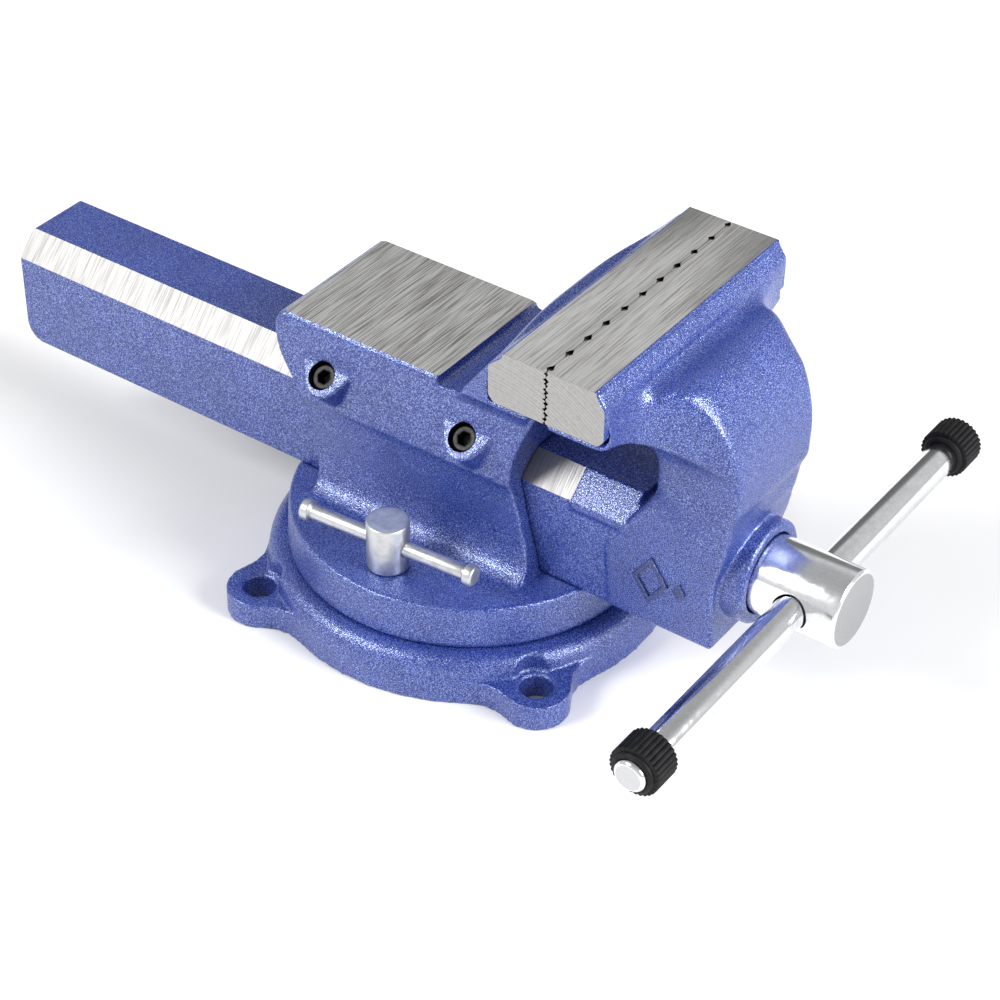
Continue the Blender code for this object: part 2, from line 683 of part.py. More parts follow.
def arm_side_outline():
    seat_back = JAW_FACE_X + JAW_BLOCK_DEPTH + GAP
    under = smooth([(0.1248, 0.1390), (0.1246, 0.1440), (0.1225, 0.1500), (0.1180, 0.1530), (0.1110, 0.1555),
                    (0.1030, 0.1605), (0.0975, 0.1680), (0.0944, JAW_SEAT - GAP)], 4)
    top = smooth([(seat_back, 0.1945), (0.1270, 0.1915), (0.1300, 0.1905), (0.1340, 0.1925),
                  (0.1395, 0.1945), (0.1455, 0.1920), (0.1510, 0.1872), (0.1562, 0.1813),
                  (0.1610, 0.1745), (0.1652, 0.1660), (0.1680, 0.1565), (BLOCK_FRONT, 0.1470),
                  (BLOCK_FRONT, 0.1380)], 4)
    foot = [(BLOCK_FRONT - 0.0003, 0.1300), (0.1664, 0.1240), (0.1649, 0.1110), (0.1500, 0.1080),
            (0.1350, 0.1200), (0.1248, 0.1300)]
    return under + [(seat_back, JAW_SEAT - GAP)] + top + foot


def arm_plan_outline():
    half = JAW_WIDTH / 2
    side = smooth([(0.1250, half), (0.1256, 0.0660), (0.1280, 0.0540), (0.1325, 0.0475),
                   (0.1400, 0.0430), (0.1500, 0.0390), (0.1600, 0.0358), (0.1700, 0.0328)], 4)
    outline = [(0.09, half)] + side
    return outline + [(along, -across) for along, across in reversed(outline)]


def build_arm():
    arm = prism("arm", arm_side_outline(), -JAW_WIDTH, JAW_WIDTH, SIDE_VIEW)
    root = [(BLOCK_HALF_WIDTH - 0.0008, 0.1000), (0.0314, 0.1130), (0.0325, 0.1240), (0.0328, 0.1380),
            (0.0332, 0.1470), (0.0345, 0.1520), (0.0385, 0.1570), (0.0460, 0.1630), (0.0600, 0.1700)]
    flare = prism("arm_flare", jaw_flare_front_outline(root), 0.08, 0.18, FRONT_VIEW)
    plan = prism("arm_plan", arm_plan_outline(), 0.10, 0.21)
    return keep_common(arm, flare, plan)


def bar_corner_outline():
    """What is rounded away from the bar's rear bottom corner."""
    radius = BAR_CORNER_RADIUS
    back = BAR_BACK - 0.001
    low = BAR_BOTTOM - 0.001
    curve = arc((BAR_BACK + radius, BAR_BOTTOM + radius), radius, 180, 270, 5)
    return [(back, low), (back, BAR_BOTTOM + radius)] + curve + [(BAR_BACK + radius, low)]


def build_bar():
    bar = prism("bar", bar_section(), BAR_BACK, BAR_FRONT, FRONT_VIEW)
    cut(bar, prism("bar_corner", bar_corner_outline(), -0.04, 0.04, SIDE_VIEW))
    cut(bar, prism("channel", channel_section(), BAR_BACK - OVERCUT, BLOCK_BORE_BACK, FRONT_VIEW))
    return bar


def chamfer_pad(side):
    """The unmachined front of the bar's chamfer, standing proud of the machined length."""
    pad = [(0.0286, 0.0950), (0.0310, 0.0950), (0.0310, 0.0990), (0.0178, 0.1122),
           (0.0160, 0.1122), (0.0160, 0.1090)]
    return prism("chamfer_pad", [(side * across, up) for across, up in pad],
                 MACHINED_CHAMFER_FRONT, BAR_FRONT, FRONT_VIEW)


def head_bore():
    """Room for the screw's head from the front, then for its shank through to the channel."""
    wide = SCREW_HEAD_RADIUS + HEAD_CLEARANCE
    narrow = SCREW_RADIUS + GAP
    bottom = WASHER_BACK - GAP
    profile = [(0, BOSS_FRONT + OVERCUT), (wide, BOSS_FRONT + OVERCUT), (wide, bottom),
               (narrow, bottom), (narrow, BLOCK_BORE_BACK - OVERCUT), (0, BLOCK_BORE_BACK - OVERCUT)]
    return turned("head_bore", profile, ROUND_SEGMENTS, screw_axis())


def build_moving_jaw():
    jaw = build_bar()
    front_block = prism("front_block", front_block_outline(), -BLOCK_HALF_WIDTH, BLOCK_HALF_WIDTH,
                        SIDE_VIEW)
    bevel(front_block, 0.0012, 1, 60)
    boss_ring = cylinder("screw_boss", BOSS_RADIUS, BOSS_BACK, BOSS_FRONT, screw_axis(), ROUND_SEGMENTS)
    bevel(boss_ring, 0.0012)
    join(jaw, front_block, build_arm(), boss_ring, chamfer_pad(-1), chamfer_pad(1))
    cut(jaw, head_bore())
    for side in (-1, 1):
        cut(jaw, jaw_screw_hole(MOVING_SCREW_X, side * JAW_SCREW_Y, MOVING_SCREW_SEAT))
    return finish(jaw, "moving_jaw", BLUE_PAINT)


# Lead screw and its fittings ----------------------------------------------------------------
def collar_pin_hole():
    """Through the collar and the screw behind it."""
    across = Matrix.Translation((COLLAR_PIN_X, 0, SCREW_HEIGHT))
    return cylinder("pin_hole", COLLAR_PIN_RADIUS + GAP, -0.03, 0.03, across, 12)


def build_lead_screw():
    tip = 0.002
    chamfer = 0.0015
    profile = [(0, SCREW_HEAD_FRONT), (SCREW_HEAD_RADIUS - chamfer, SCREW_HEAD_FRONT),
               (SCREW_HEAD_RADIUS, SCREW_HEAD_FRONT - chamfer), (SCREW_HEAD_RADIUS, SCREW_HEAD_BACK),
               (SCREW_RADIUS, SCREW_HEAD_BACK), (SCREW_RADIUS, SCREW_BACK + tip),
               (SCREW_RADIUS - tip, SCREW_BACK), (0, SCREW_BACK)]
    screw = turned("lead_screw", profile, ROUND_SEGMENTS, screw_axis())
    cut(screw, cylinder("handle_hole", HANDLE_RADIUS + HEAD_CLEARANCE, -0.03, 0.03, handle_axis(),
                        MIDDLE_SEGMENTS))
    cut(screw, collar_pin_hole())
    return finish(screw, "lead_screw", CHROME, True)


def build_retainers():
    """The washer in front of the jaw's bore and the pinned collar behind it."""
    inner = SCREW_RADIUS + GAP
    washer = turned("washer", ring(inner, WASHER_RADIUS, WASHER_BACK, WASHER_FRONT),
                    MIDDLE_SEGMENTS, screw_axis())
    finish(washer, "thrust_washer", BRONZE, True)
    collar = turned("collar", ring(inner, COLLAR_RADIUS, COLLAR_FRONT - COLLAR_LENGTH, COLLAR_FRONT),
                    MIDDLE_SEGMENTS, screw_axis())
    cut(collar, collar_pin_hole())
    finish(collar, "screw_collar", STEEL, True)
    half_length = COLLAR_RADIUS - 0.0004
    pin = turned("pin", rod_profile(COLLAR_PIN_RADIUS, -half_length, half_length, 0.0005), 12,
                 Matrix.Translation((COLLAR_PIN_X, 0, SCREW_HEIGHT)))
    finish(pin, "collar_pin", STEEL, True)


def build_nut():
    outline = [(NUT_HALF_WIDTH, BAR_BOTTOM), (NUT_HALF_WIDTH, NUT_TOP - 0.005),
               (NUT_HALF_WIDTH - 0.005, NUT_TOP)]
    nut = prism("nut", mirrored(outline), -NUT_HALF_LENGTH, NUT_HALF_LENGTH, FRONT_VIEW)
    cut(nut, cylinder("nut_bore", SCREW_RADIUS + GAP, -0.05, 0.05, screw_axis(), MIDDLE_SEGMENTS))
    for name, x in (("nut_bolt_rear", -NUT_BOLT_X), ("nut_bolt_front", NUT_BOLT_X)):
        cut(nut, cylinder("nut_tapping", NUT_BOLT_RADIUS + GAP, BAR_BOTTOM - OVERCUT,
                          NUT_BOLT_TOP + 2 * GAP, upright(x, 0), 12))
        build_cap_screw(name, x, 0, NUT_BOLT_RADIUS, NUT_BOLT_HEAD_RADIUS, NUT_BOLT_SEAT - GAP,
                        NUT_BOLT_TOP)
    finish(nut, "spindle_nut", BRONZE)


# Handle ---------------------------------------------------------------------------------
def build_cap(name, low, high):
    """A rubber sleeve with rounded rims, open where the handle's neck passes through."""
    inner = HANDLE_NECK_RADIUS + GAP
    rim = 0.001
    profile = [(inner, high), (CAP_RADIUS - rim, high), (CAP_RADIUS, high - rim),
               (CAP_RADIUS, low + rim), (CAP_RADIUS - rim, low), (inner, low), (inner, high)]
    cap = turned(name, profile, MIDDLE_SEGMENTS, handle_axis())
    finish(cap, name, RUBBER, True)


def build_handle():
    neck = HANDLE_NECK_RADIUS
    chamfer = 0.001
    left_shoulder = HANDLE_LEFT + CAP_PROUD + CAP_LENGTH
    right_shoulder = HANDLE_RIGHT - CAP_PROUD - CAP_LENGTH
    profile = [(0, HANDLE_RIGHT), (neck - chamfer, HANDLE_RIGHT), (neck, HANDLE_RIGHT - chamfer),
               (neck, right_shoulder), (HANDLE_RADIUS, right_shoulder), (HANDLE_RADIUS, left_shoulder),
               (neck, left_shoulder), (neck, HANDLE_LEFT + chamfer), (neck - chamfer, HANDLE_LEFT),
               (0, HANDLE_LEFT)]
    bar = turned("handle", profile, MIDDLE_SEGMENTS, handle_axis())
    finish(bar, "handle_bar", CHROME, True)
    build_cap("handle_cap_left", HANDLE_LEFT + CAP_PROUD, left_shoulder - GAP)
    build_cap("handle_cap_right", right_shoulder + GAP, HANDLE_RIGHT - CAP_PROUD)


# Swivel locks ---------------------------------------------------------------------------
def lock_bar_frame(y):
    """Maps a turned piece's Z to the lock bar's axis through its bolt."""
    yaw = Matrix.Rotation(radians(LOCK_BAR_YAW), 4, "Z")
    return Matrix.Translation((LOCK_X, y, LOCK_BAR_HEIGHT)) @ yaw @ ALONG_X


def build_lock_bolt(name, y):
    seat = TURNTABLE_TOP + GAP
    chamfer = 0.0012
    end = 0.0075
    profile = [(0, LOCK_HEAD_TOP), (LOCK_HEAD_RADIUS - chamfer, LOCK_HEAD_TOP),
               (LOCK_HEAD_RADIUS, LOCK_HEAD_TOP - chamfer), (LOCK_HEAD_RADIUS, seat),
               (LOCK_SHANK_RADIUS, seat), (LOCK_SHANK_RADIUS, end + chamfer),
               (LOCK_SHANK_RADIUS - chamfer, end), (0, end)]
    bolt = turned("lock_bolt", profile, MIDDLE_SEGMENTS, upright(LOCK_X, y))
    cut(bolt, cylinder("bar_hole", LOCK_BAR_RADIUS + GAP, -0.03, 0.03, lock_bar_frame(y)))
    finish(bolt, name, ZINC, True)


def build_lock_bar(name, y):
    """A plain rod with a knob formed at each end."""
    end = LOCK_BAR_HALF_LENGTH
    knob = [(0, end), (LOCK_KNOB_RADIUS - 0.0012, end), (LOCK_KNOB_RADIUS, end - 0.0015),
            (LOCK_KNOB_RADIUS, end - 0.0058), (LOCK_BAR_RADIUS, end - 0.0066)]
    profile = knob + [(radius, -height) for radius, height in reversed(knob)]
    bar = turned("lock_bar", profile, SMALL_SEGMENTS, lock_bar_frame(y))
    finish(bar, name, ZINC, True)


def build_lock_nut(name, y):
    nut = box("lock_nut", (LOCK_X - LOCK_NUT_HALF_LENGTH, y - LOCK_NUT_HALF_WIDTH, BASE_FLOOR + GAP),
              (LOCK_X + LOCK_NUT_HALF_LENGTH, y + LOCK_NUT_HALF_WIDTH, SLOT_LIP_BOTTOM - GAP))
    cut(nut, cylinder("lock_nut_hole", LOCK_SHANK_RADIUS + GAP, 0, BASE_HEIGHT, upright(LOCK_X, y)))
    finish(nut, name, ZINC)


# Gibs and their set screws --------------------------------------------------------------
def build_gib(name, side):
    gib = box("gib", (GIB_BACK, -GIB_HALF_WIDTH, GAP), (GIB_FRONT, GIB_HALF_WIDTH, GIB_THICKNESS))
    gib.matrix_world = gib_frame(side)
    finish(gib, name, BRONZE)


def build_set_screw(name, x, side):
    """A headless screw sunk in its boss, with a hexagonal socket."""
    spot = set_screw_frame(x, side)
    chamfer = 0.0009
    profile = rod_profile(SET_SCREW_RADIUS, -SET_SCREW_DEPTH, -SET_SCREW_SUNK, chamfer)
    screw = turned("set_screw", profile, SMALL_SEGMENTS, spot)
    cut(screw, hexagon("screw_socket", 0.0066, -0.010, 0.0, spot))
    finish(screw, name, BLACK_STEEL, True)


def build_side(name, side):
    """Everything that is repeated on the left and the right of the vise."""
    build_cap_screw("fixed_jaw_screw_" + name, FIXED_SCREW_X, side * JAW_SCREW_Y, JAW_SCREW_RADIUS,
                    JAW_SCREW_HEAD_RADIUS, FIXED_SCREW_SEAT - GAP, JAW_SCREW_TOP)
    build_cap_screw("moving_jaw_screw_" + name, MOVING_SCREW_X, side * JAW_SCREW_Y, JAW_SCREW_RADIUS,
                    JAW_SCREW_HEAD_RADIUS, MOVING_SCREW_SEAT - GAP, JAW_SCREW_TOP)
    build_lock_bolt("lock_bolt_" + name, side * LOCK_Y)
    build_lock_bar("lock_bar_" + name, side * LOCK_Y)
    build_lock_nut("lock_nut_" + name, side * LOCK_Y)
    build_gib("gib_strip_" + name, side)
    for place, x in zip(("rear", "front"), SET_SCREW_XS):
        build_set_screw("set_screw_" + place + "_" + name, x, side)


def build_vise():
    build_base()
    build_pivot()
    build_swivel_body()
    build_jaw_block("fixed_jaw_block", -1, FIXED_SCREW_X, FIXED_BLOCK_COVE)
    build_jaw_block("moving_jaw_block", 1, MOVING_SCREW_X, MOVING_BLOCK_COVE)
    build_side("left", -1)
    build_side("right", 1)
    build_moving_jaw()
    build_lead_screw()
    build_retainers()
    build_nut()
    build_handle()


build_vise()
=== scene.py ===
from math import cos, hypot, pi, radians, sin, sqrt

import bmesh
import bpy
import numpy as np
from mathutils import Matrix, Vector


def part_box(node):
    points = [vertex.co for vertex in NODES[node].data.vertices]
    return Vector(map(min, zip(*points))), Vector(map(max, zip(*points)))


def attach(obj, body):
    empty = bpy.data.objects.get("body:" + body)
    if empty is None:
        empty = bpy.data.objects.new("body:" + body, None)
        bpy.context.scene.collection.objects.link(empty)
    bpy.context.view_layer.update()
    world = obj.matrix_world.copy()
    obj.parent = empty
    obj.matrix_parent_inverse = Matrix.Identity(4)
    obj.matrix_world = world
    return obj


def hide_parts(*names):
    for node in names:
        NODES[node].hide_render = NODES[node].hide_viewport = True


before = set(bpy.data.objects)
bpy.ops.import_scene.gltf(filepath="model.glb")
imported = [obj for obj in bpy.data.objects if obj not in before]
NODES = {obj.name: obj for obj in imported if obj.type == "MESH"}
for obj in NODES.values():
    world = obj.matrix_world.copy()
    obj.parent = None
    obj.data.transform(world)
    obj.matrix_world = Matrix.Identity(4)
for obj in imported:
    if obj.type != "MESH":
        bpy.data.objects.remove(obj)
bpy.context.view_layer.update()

# Sizes shared with the solids, in metres ---------------------------------------------------
ANVIL_BACK, ANVIL_FRONT, ANVIL_TOP, ANVIL_HALF_WIDTH = -0.0831, 0.0089, 0.14655, 0.0388
BAR_HALF_WIDTH, BAR_TOP, BAR_CHAMFER = 0.0298, 0.11125, 0.0123
BAR_BACK, MACHINED_FRONT = -0.2747, 0.079
FRONT_BLOCK_SIDE = -0.0310
JAW_FACE_X, JAW_DEPTH, JAW_SEAT, JAW_TOP, JAW_HALF_WIDTH = 0.0938, 0.0307, 0.177, 0.205, 0.0762
FIXED_COVE, MOVING_COVE = 0.0072, 0.0044
SCREW_HEIGHT, HANDLE_X = 0.0805, 0.193
LOCK_X, LOCK_Y, LOCK_BAR_HEIGHT, LOCK_YAW = 0.001, 0.0697, 0.063, 4.0
SET_SCREW_XS, SET_SCREW_Y, SET_SCREW_Z, BORE_RADIUS = (-0.0575, 0.0265), 0.045, 0.122, 0.0073

# How a casting's skin is made ----------------------------------------------------------------
CAST_VOXEL, CAST_SMOOTHING, CAST_KEPT, CAST_CREASE = 0.0009, 5, 0.42, 62
WELD = 1e-6

# The moving jaw's skin is eased further in three places. Each is where its ramps overlap, given as
# (axis, start, end, rises), with Y measured out from the middle plane.
ARM = ((0, 0.118, 0.124, True), (2, 0.104, 0.114, True), (2, 0.196, 0.1975, False))
ARM_ROOT = ((0, 0.112, 0.122, True), (0, 0.150, 0.158, False), (1, 0.027, 0.029, True),
            (2, 0.086, 0.096, True), (2, 0.150, 0.160, False))
VALLEY = ((0, 0.1255, 0.1270, True), (0, 0.150, 0.160, False), (2, 0.172, 0.180, True),
          (1, 0.0742, 0.0764, False))

# Studio and camera ---------------------------------------------------------------------------
FLOOR_HALF_SIZE, FLOOR_DROP = 40.0, 0.0002
STUDIO_STRENGTH, DARK_SIDE = 0.72, (-0.50, 0.84, 0.12)
LAMPS = (("key", (-0.47, -0.62, 0.66), 1.9, 24), ("fill", (0.93, 0.10, 0.50), 3.6, 28))
LAMP_CENTRE, LAMP_DISTANCE = (0.0, 0.0, 0.1), 1.6
CAMERA_PLACE, CAMERA_LENS, CAMERA_SENSOR = (0.60431, -0.84017, 0.84934), 93.82, 36.0
CAMERA_AZIMUTH, CAMERA_ELEVATION, CAMERA_ROLL = 34.93, 37.87, 0.96
CAMERA_CLIP = (0.05, 30.0)


# Materials -----------------------------------------------------------------------------------
MIX_A, MIX_B, MIX_RESULT = 6, 7, 2      # a Mix node's colour sockets
PAINT_SHADES = ((0.002, 0.009, 0.120), (0.007, 0.027, 0.225), (0.028, 0.068, 0.360), (0.31, 0.39, 0.73))
# How bright the cast mark's enamel is beside the plain enamel: painted shade, so the raised mark reads dark.
MARK_PAINTED_SHADE = 0.55


def set_stops(ramp, stops):
    """Fills a ramp with grey or colour stops, as (position, grey) or (position, (r, g, b))."""
    while len(ramp.elements) < len(stops):
        ramp.elements.new(0.5)
    for element, (position, colour) in zip(ramp.elements, stops):
        element.position = position
        grey = (colour,) * 3 if isinstance(colour, (int, float)) else colour
        element.color = (*grey, 1.0)


class Nodes:
    """A short way to write the node tree of a material or a world."""

    def __init__(self, owner, out, shader, place):
        owner.use_nodes = True
        self.owner = owner
        self.tree = owner.node_tree
        self.tree.nodes.clear()
        end = self.add(out)
        self.shader = self.add(shader)
        self.put(end.inputs[0], self.shader.outputs[0])
        self.place = self.add("TexCoord").outputs[place]

    def put(self, socket, value):
        if isinstance(value, bpy.types.NodeSocket):
            self.tree.links.new(value, socket)
        else:
            socket.default_value = value

    def add(self, kind, settings=None, **inputs):
        node = self.tree.nodes.new("ShaderNode" + kind)
        for key, value in (settings or {}).items():
            setattr(node, key, value)
        for key, value in inputs.items():
            self.put(node.inputs[key.replace("_", " ")], value)
        return node

    def vector(self, operation, other, start=None, output=0):
        node = self.add("VectorMath", {"operation": operation})
        self.put(node.inputs[0], start or self.place)
        if other is not None:
            self.put(node.inputs[1], other)
        return node.outputs[output]

    def noise(self, scale, detail=2.0, roughness=0.5, vector=None):
        node = self.add("TexNoise", Vector=vector or self.place, Scale=scale, Detail=detail,
                        Roughness=roughness)
        return node.outputs["Fac"]

    def ramp(self, value, *stops):
        node = self.add("ValToRGB", Fac=value)
        set_stops(node.color_ramp, stops)
        return node.outputs["Color"]

    def mix(self, factor, a, b, blend="MIX"):
        node = self.add("Mix", {"data_type": "RGBA", "blend_type": blend})
        self.put(node.inputs[0], factor)
        for index, value in ((MIX_A, a), (MIX_B, b)):
            if isinstance(value, tuple):
                value = (*value, 1.0)
            self.put(node.inputs[index], value)
        return node.outputs[MIX_RESULT]

    def math(self, operation, a, b=0.5):
        node = self.add("Math", {"operation": operation})
        self.put(node.inputs[0], a)
        self.put(node.inputs[1], b)
        return node.outputs[0]

    def weighted(self, a, a_share, b, b_share):
        return self.math("ADD", self.math("MULTIPLY", a, a_share), self.math("MULTIPLY", b, b_share))

    def bump(self, height, strength, distance):
        bump = self.add("Bump", Height=height, Strength=strength, Distance=distance)
        self.put(self.shader.inputs["Normal"], bump.outputs[0])

    def set(self, **values):
        for key, value in values.items():
            if isinstance(value, tuple):
                value = (*value, 1.0)
            self.put(self.shader.inputs[key.replace("_", " ")], value)
        return self.owner


def material(name):
    return Nodes(bpy.data.materials.new(name), "OutputMaterial", "BsdfPrincipled", "Object")


def low_and_high(colour, fall, rise):
    """A darker and a lighter shade of a colour."""
    return tuple(c * (1.0 - fall) for c in colour), tuple(min(1.0, c * (1.0 + rise)) for c in colour)


def hammered_paint(name, depth=1.0):
    """Blue hammered enamel: a glossy body with fine aluminium flakes. A depth under 1 darkens it all over;
    the cast mark's copy uses that as painted shade.
    """
    n = material(name)
    grain = n.noise(1500, 1.0, 0.60)
    patches = n.noise(38, 3.0, 0.55)
    flakes = n.ramp(n.noise(2100, 1.0, 0.6), (0.545, 0.0), (0.60, 1.0))
    pooled, even, thin, flake = (tuple(depth * c for c in shade) for shade in PAINT_SHADES)
    body = n.ramp(grain, (0.36, pooled), (0.50, even), (0.66, thin))
    body = n.mix(flakes, body, flake)
    body = n.mix(1.0, body, n.ramp(patches, (0.30, 0.90), (0.70, 1.08)), "MULTIPLY")
    n.bump(grain, 1.0, 0.00026)
    return n.set(Base_Color=body, Metallic=n.math("MULTIPLY", flakes, 0.85),
                 Roughness=n.ramp(flakes, (0.0, 0.19), (1.0, 0.30)), Specular_IOR_Level=0.7)


def brushed_steel(name, across, colour, contrast, rough=(0.26, 0.42)):
    """Ground steel with fine scratches: its tone only changes fast along the axes in across."""
    n = material(name)
    fine, broad = [40.0] * 3, [24.0] * 3
    for axis in across:
        fine[axis], broad[axis] = 2700.0, 1500.0
    lines = n.noise(1.0, 1.0, 0.6, n.vector("MULTIPLY", fine))
    bands = n.noise(1.0, 1.0, 0.6, n.vector("MULTIPLY", broad))
    marks = n.weighted(lines, 0.75, bands, 0.25)
    low, high = low_and_high(colour, contrast, 0.55 * contrast)
    tone = n.ramp(marks, (0.42, low), (0.50, colour), (0.58, high))
    stain = n.ramp(n.noise(24, 3.0), (0.35, 0.93), (0.65, 1.0))
    n.bump(marks, 0.30, 0.00012)
    return n.set(Base_Color=n.mix(1.0, tone, stain, "MULTIPLY"), Metallic=1.0,
                 Roughness=n.ramp(marks, (0.35, rough[1]), (0.65, rough[0])))


def serrated_steel():
    """A jaw's gripping face: bare steel on the lands, painted shade, near black, down in the grooves."""
    n = material("serrated_face")
    x = n.add("SeparateXYZ", Vector=n.place).outputs["X"]
    depth_mm = n.math("MULTIPLY", n.math("ABSOLUTE", n.math("SUBTRACT", x, JAW_FACE_X)), 1000.0)
    grain = n.noise(1300, 2.0, 0.6)
    land = n.ramp(grain, (0.35, (0.33, 0.325, 0.315)), (0.65, (0.50, 0.495, 0.48)))
    n.bump(grain, 0.25, 0.0001)
    # Deeper than about a third of a millimetre the face turns near black: painted shade in the grooves.
    groove = n.ramp(depth_mm, (0.22, 0.0), (0.45, 1.0))
    return n.set(Base_Color=n.mix(groove, land, (0.022, 0.021, 0.020)), Metallic=1.0,
                 Roughness=n.ramp(grain, (0.35, 0.48), (0.65, 0.36)))


def swirled_steel(name, centre, across, colour, contrast):
    """Milled steel whose cutter marks are arcs round a centre, looking along the axis across."""
    n = material(name)
    flat = [1.0, 1.0, 1.0]
    flat[across] = 0.0
    radius = n.vector("LENGTH", None, n.vector("MULTIPLY", flat, n.vector("SUBTRACT", centre)), "Value")
    rings = n.add("TexNoise", {"noise_dimensions": "1D"}, W=n.math("MULTIPLY", radius, 2400.0),
                  Scale=1.0, Detail=1.0).outputs["Fac"]
    marks = n.weighted(rings, 0.75, n.noise(900), 0.25)
    low, high = low_and_high(colour, contrast, contrast)
    n.bump(rings, 0.5 * contrast, 0.0001)
    return n.set(Base_Color=n.ramp(marks, (0.32, low), (0.5, colour), (0.68, high)), Metallic=1.0,
                 Roughness=n.ramp(marks, (0.35, 0.42), (0.65, 0.30)))


def chrome(name, along, rough, colour):
    """Bright plate over lathe marks that run round the axis along, with a little clouding."""
    n = material(name)
    scale = [60.0] * 3
    scale[along] = 1500.0
    rings = n.noise(1.0, 2.0, 0.6, n.vector("MULTIPLY", scale))
    cloud = n.noise(160, 4.0, 0.65)
    speck = n.ramp(n.noise(1500, 2.0), (0.30, 0.86), (0.45, 1.0))
    clouded = n.ramp(cloud, (0.35, tuple(c * 0.90 for c in colour)), (0.6, colour))
    n.bump(n.weighted(rings, 0.7, cloud, 0.5), 0.10, 0.0001)
    return n.set(Base_Color=n.mix(1.0, clouded, speck, "MULTIPLY"), Metallic=1.0,
                 Roughness=n.ramp(cloud, (0.35, rough[1]), (0.65, rough[0])))


def zinc():
    """Dull white-grey plating over a slightly rough forging."""
    n = material("zinc_plate")
    pits = n.noise(900, 3.0, 0.6)
    cloud = n.noise(190, 4.0, 0.6)
    tone = n.ramp(cloud, (0.30, (0.48, 0.49, 0.50)), (0.52, (0.62, 0.63, 0.64)), (0.75, (0.72, 0.72, 0.72)))
    n.bump(n.weighted(pits, 0.6, cloud, 0.5), 0.40, 0.0002)
    return n.set(Base_Color=tone, Metallic=0.95, Roughness=n.ramp(pits, (0.35, 0.44), (0.7, 0.30)))


# Black-oxide steel for the screws and bolts; in the swivel's set screw bores the same near black stands as
# painted shade.
def black_oxide_and_bore_shade():
    n = material("black_oxide_and_bore_shade")
    pits = n.noise(1100, 2.0)
    tone = n.ramp(n.noise(420, 3.0), (0.35, (0.004, 0.004, 0.004)), (0.75, (0.012, 0.012, 0.011)))
    n.bump(pits, 0.25, 0.0001)
    return n.set(Base_Color=tone, Metallic=0.35, Roughness=n.ramp(pits, (0.35, 0.46), (0.7, 0.32)),
                 Specular_IOR_Level=0.4)


def rubber():
    n = material("black_rubber")
    pores = n.noise(1500, 3.0, 0.6)
    tone = n.ramp(n.noise(300, 3.0), (0.35, (0.005, 0.005, 0.006)), (0.7, (0.013, 0.013, 0.014)))
    n.bump(pores, 0.35, 0.00012)
    return n.set(Base_Color=tone, Roughness=n.ramp(pores, (0.3, 0.50), (0.7, 0.66)), Specular_IOR_Level=0.22)


def bronze():
    n = material("cast_bronze")
    pits = n.noise(700, 3.0)
    tone = n.ramp(n.noise(210, 3.0), (0.3, (0.30, 0.17, 0.055)), (0.7, (0.52, 0.33, 0.12)))
    n.bump(pits, 0.3, 0.0002)
    return n.set(Base_Color=tone, Metallic=1.0, Roughness=n.ramp(pits, (0.35, 0.42), (0.7, 0.26)))


def floor_paint():
    n = material("pale_floor")
    tone = n.ramp(n.noise(9, 2.0), (0.3, (0.905, 0.905, 0.905)), (0.7, (0.925, 0.925, 0.925)))
    return n.set(Base_Color=tone, Roughness=0.75, Specular_IOR_Level=0.1)


PAINT = hammered_paint("hammered_blue")
PAINT_SHADED = hammered_paint("hammered_blue_shaded", MARK_PAINTED_SHADE)
STEEL_ANVIL = brushed_steel("ground_steel", (0, 2), (0.85, 0.84, 0.82), 0.55)
STEEL_JAW = brushed_steel("ground_jaw", (0, 2), (0.97, 0.96, 0.94), 0.42)
STEEL_BAR = brushed_steel("ground_slide", (0,), (0.305, 0.30, 0.295), 0.20, (0.42, 0.52))
STEEL_END = swirled_steel("milled_end", (0.060, 0.0, 0.112), 1, (0.40, 0.395, 0.385), 0.30)
STEEL_FACE = serrated_steel()
STEEL_TURNED = chrome("turned_steel", 0, (0.24, 0.38), (0.55, 0.54, 0.52))
CHROME_X = chrome("chrome_head", 0, (0.12, 0.24), (0.93, 0.94, 0.96))
CHROME_Y = chrome("chrome_handle", 1, (0.08, 0.18), (0.84, 0.85, 0.87))
SATIN_HEAD = swirled_steel("satin_head", (0.0, 0.0, SCREW_HEIGHT), 0, (0.44, 0.45, 0.46), 0.05)
SATIN_END = swirled_steel("satin_end", (HANDLE_X, 0.0, SCREW_HEIGHT), 1, (0.62, 0.62, 0.63), 0.06)
ZINC = zinc()
BLACK = black_oxide_and_bore_shade()
RUBBER = rubber()
BRONZE = bronze()


# Building ------------------------------------------------------------------------------------
def new_object(name, mesh):
    obj = bpy.data.objects.new(name, mesh)
    bpy.context.scene.collection.objects.link(obj)
    return obj


def object_from(name, bm):
    """A new object with the bmesh's faces, which is freed."""
    mesh = bpy.data.meshes.new(name)
    bm.to_mesh(mesh)
    bm.free()
    return new_object(name, mesh)


def from_bmesh(name, bm, matrix=None):
    """A new object whose faces all point out, moved by the matrix if there is one."""
    bmesh.ops.recalc_face_normals(bm, faces=bm.faces)
    if matrix is not None:
        bmesh.ops.transform(bm, matrix=matrix, verts=bm.verts)
    return object_from(name, bm)


def apply_modifiers(obj):
    evaluated = obj.evaluated_get(bpy.context.evaluated_depsgraph_get())
    mesh = bpy.data.meshes.new_from_object(evaluated)
    obj.modifiers.clear()
    obj.data = mesh
    return obj


def piece(obj, body, slot, *replaced):
    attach(obj, body)
    if replaced:
        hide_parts(*replaced)
    return obj


def paint(obj, *materials):
    """Sets a mesh's materials. Clearing a list resets the faces' choices, so an empty one is left alone."""
    if obj.data.materials:
        obj.data.materials.clear()
    for look in materials:
        obj.data.materials.append(look)
    return obj


def smooth_shade(obj, angle):
    obj.data.shade_smooth()
    obj.data.set_sharp_from_angle(angle=radians(angle))
    return obj


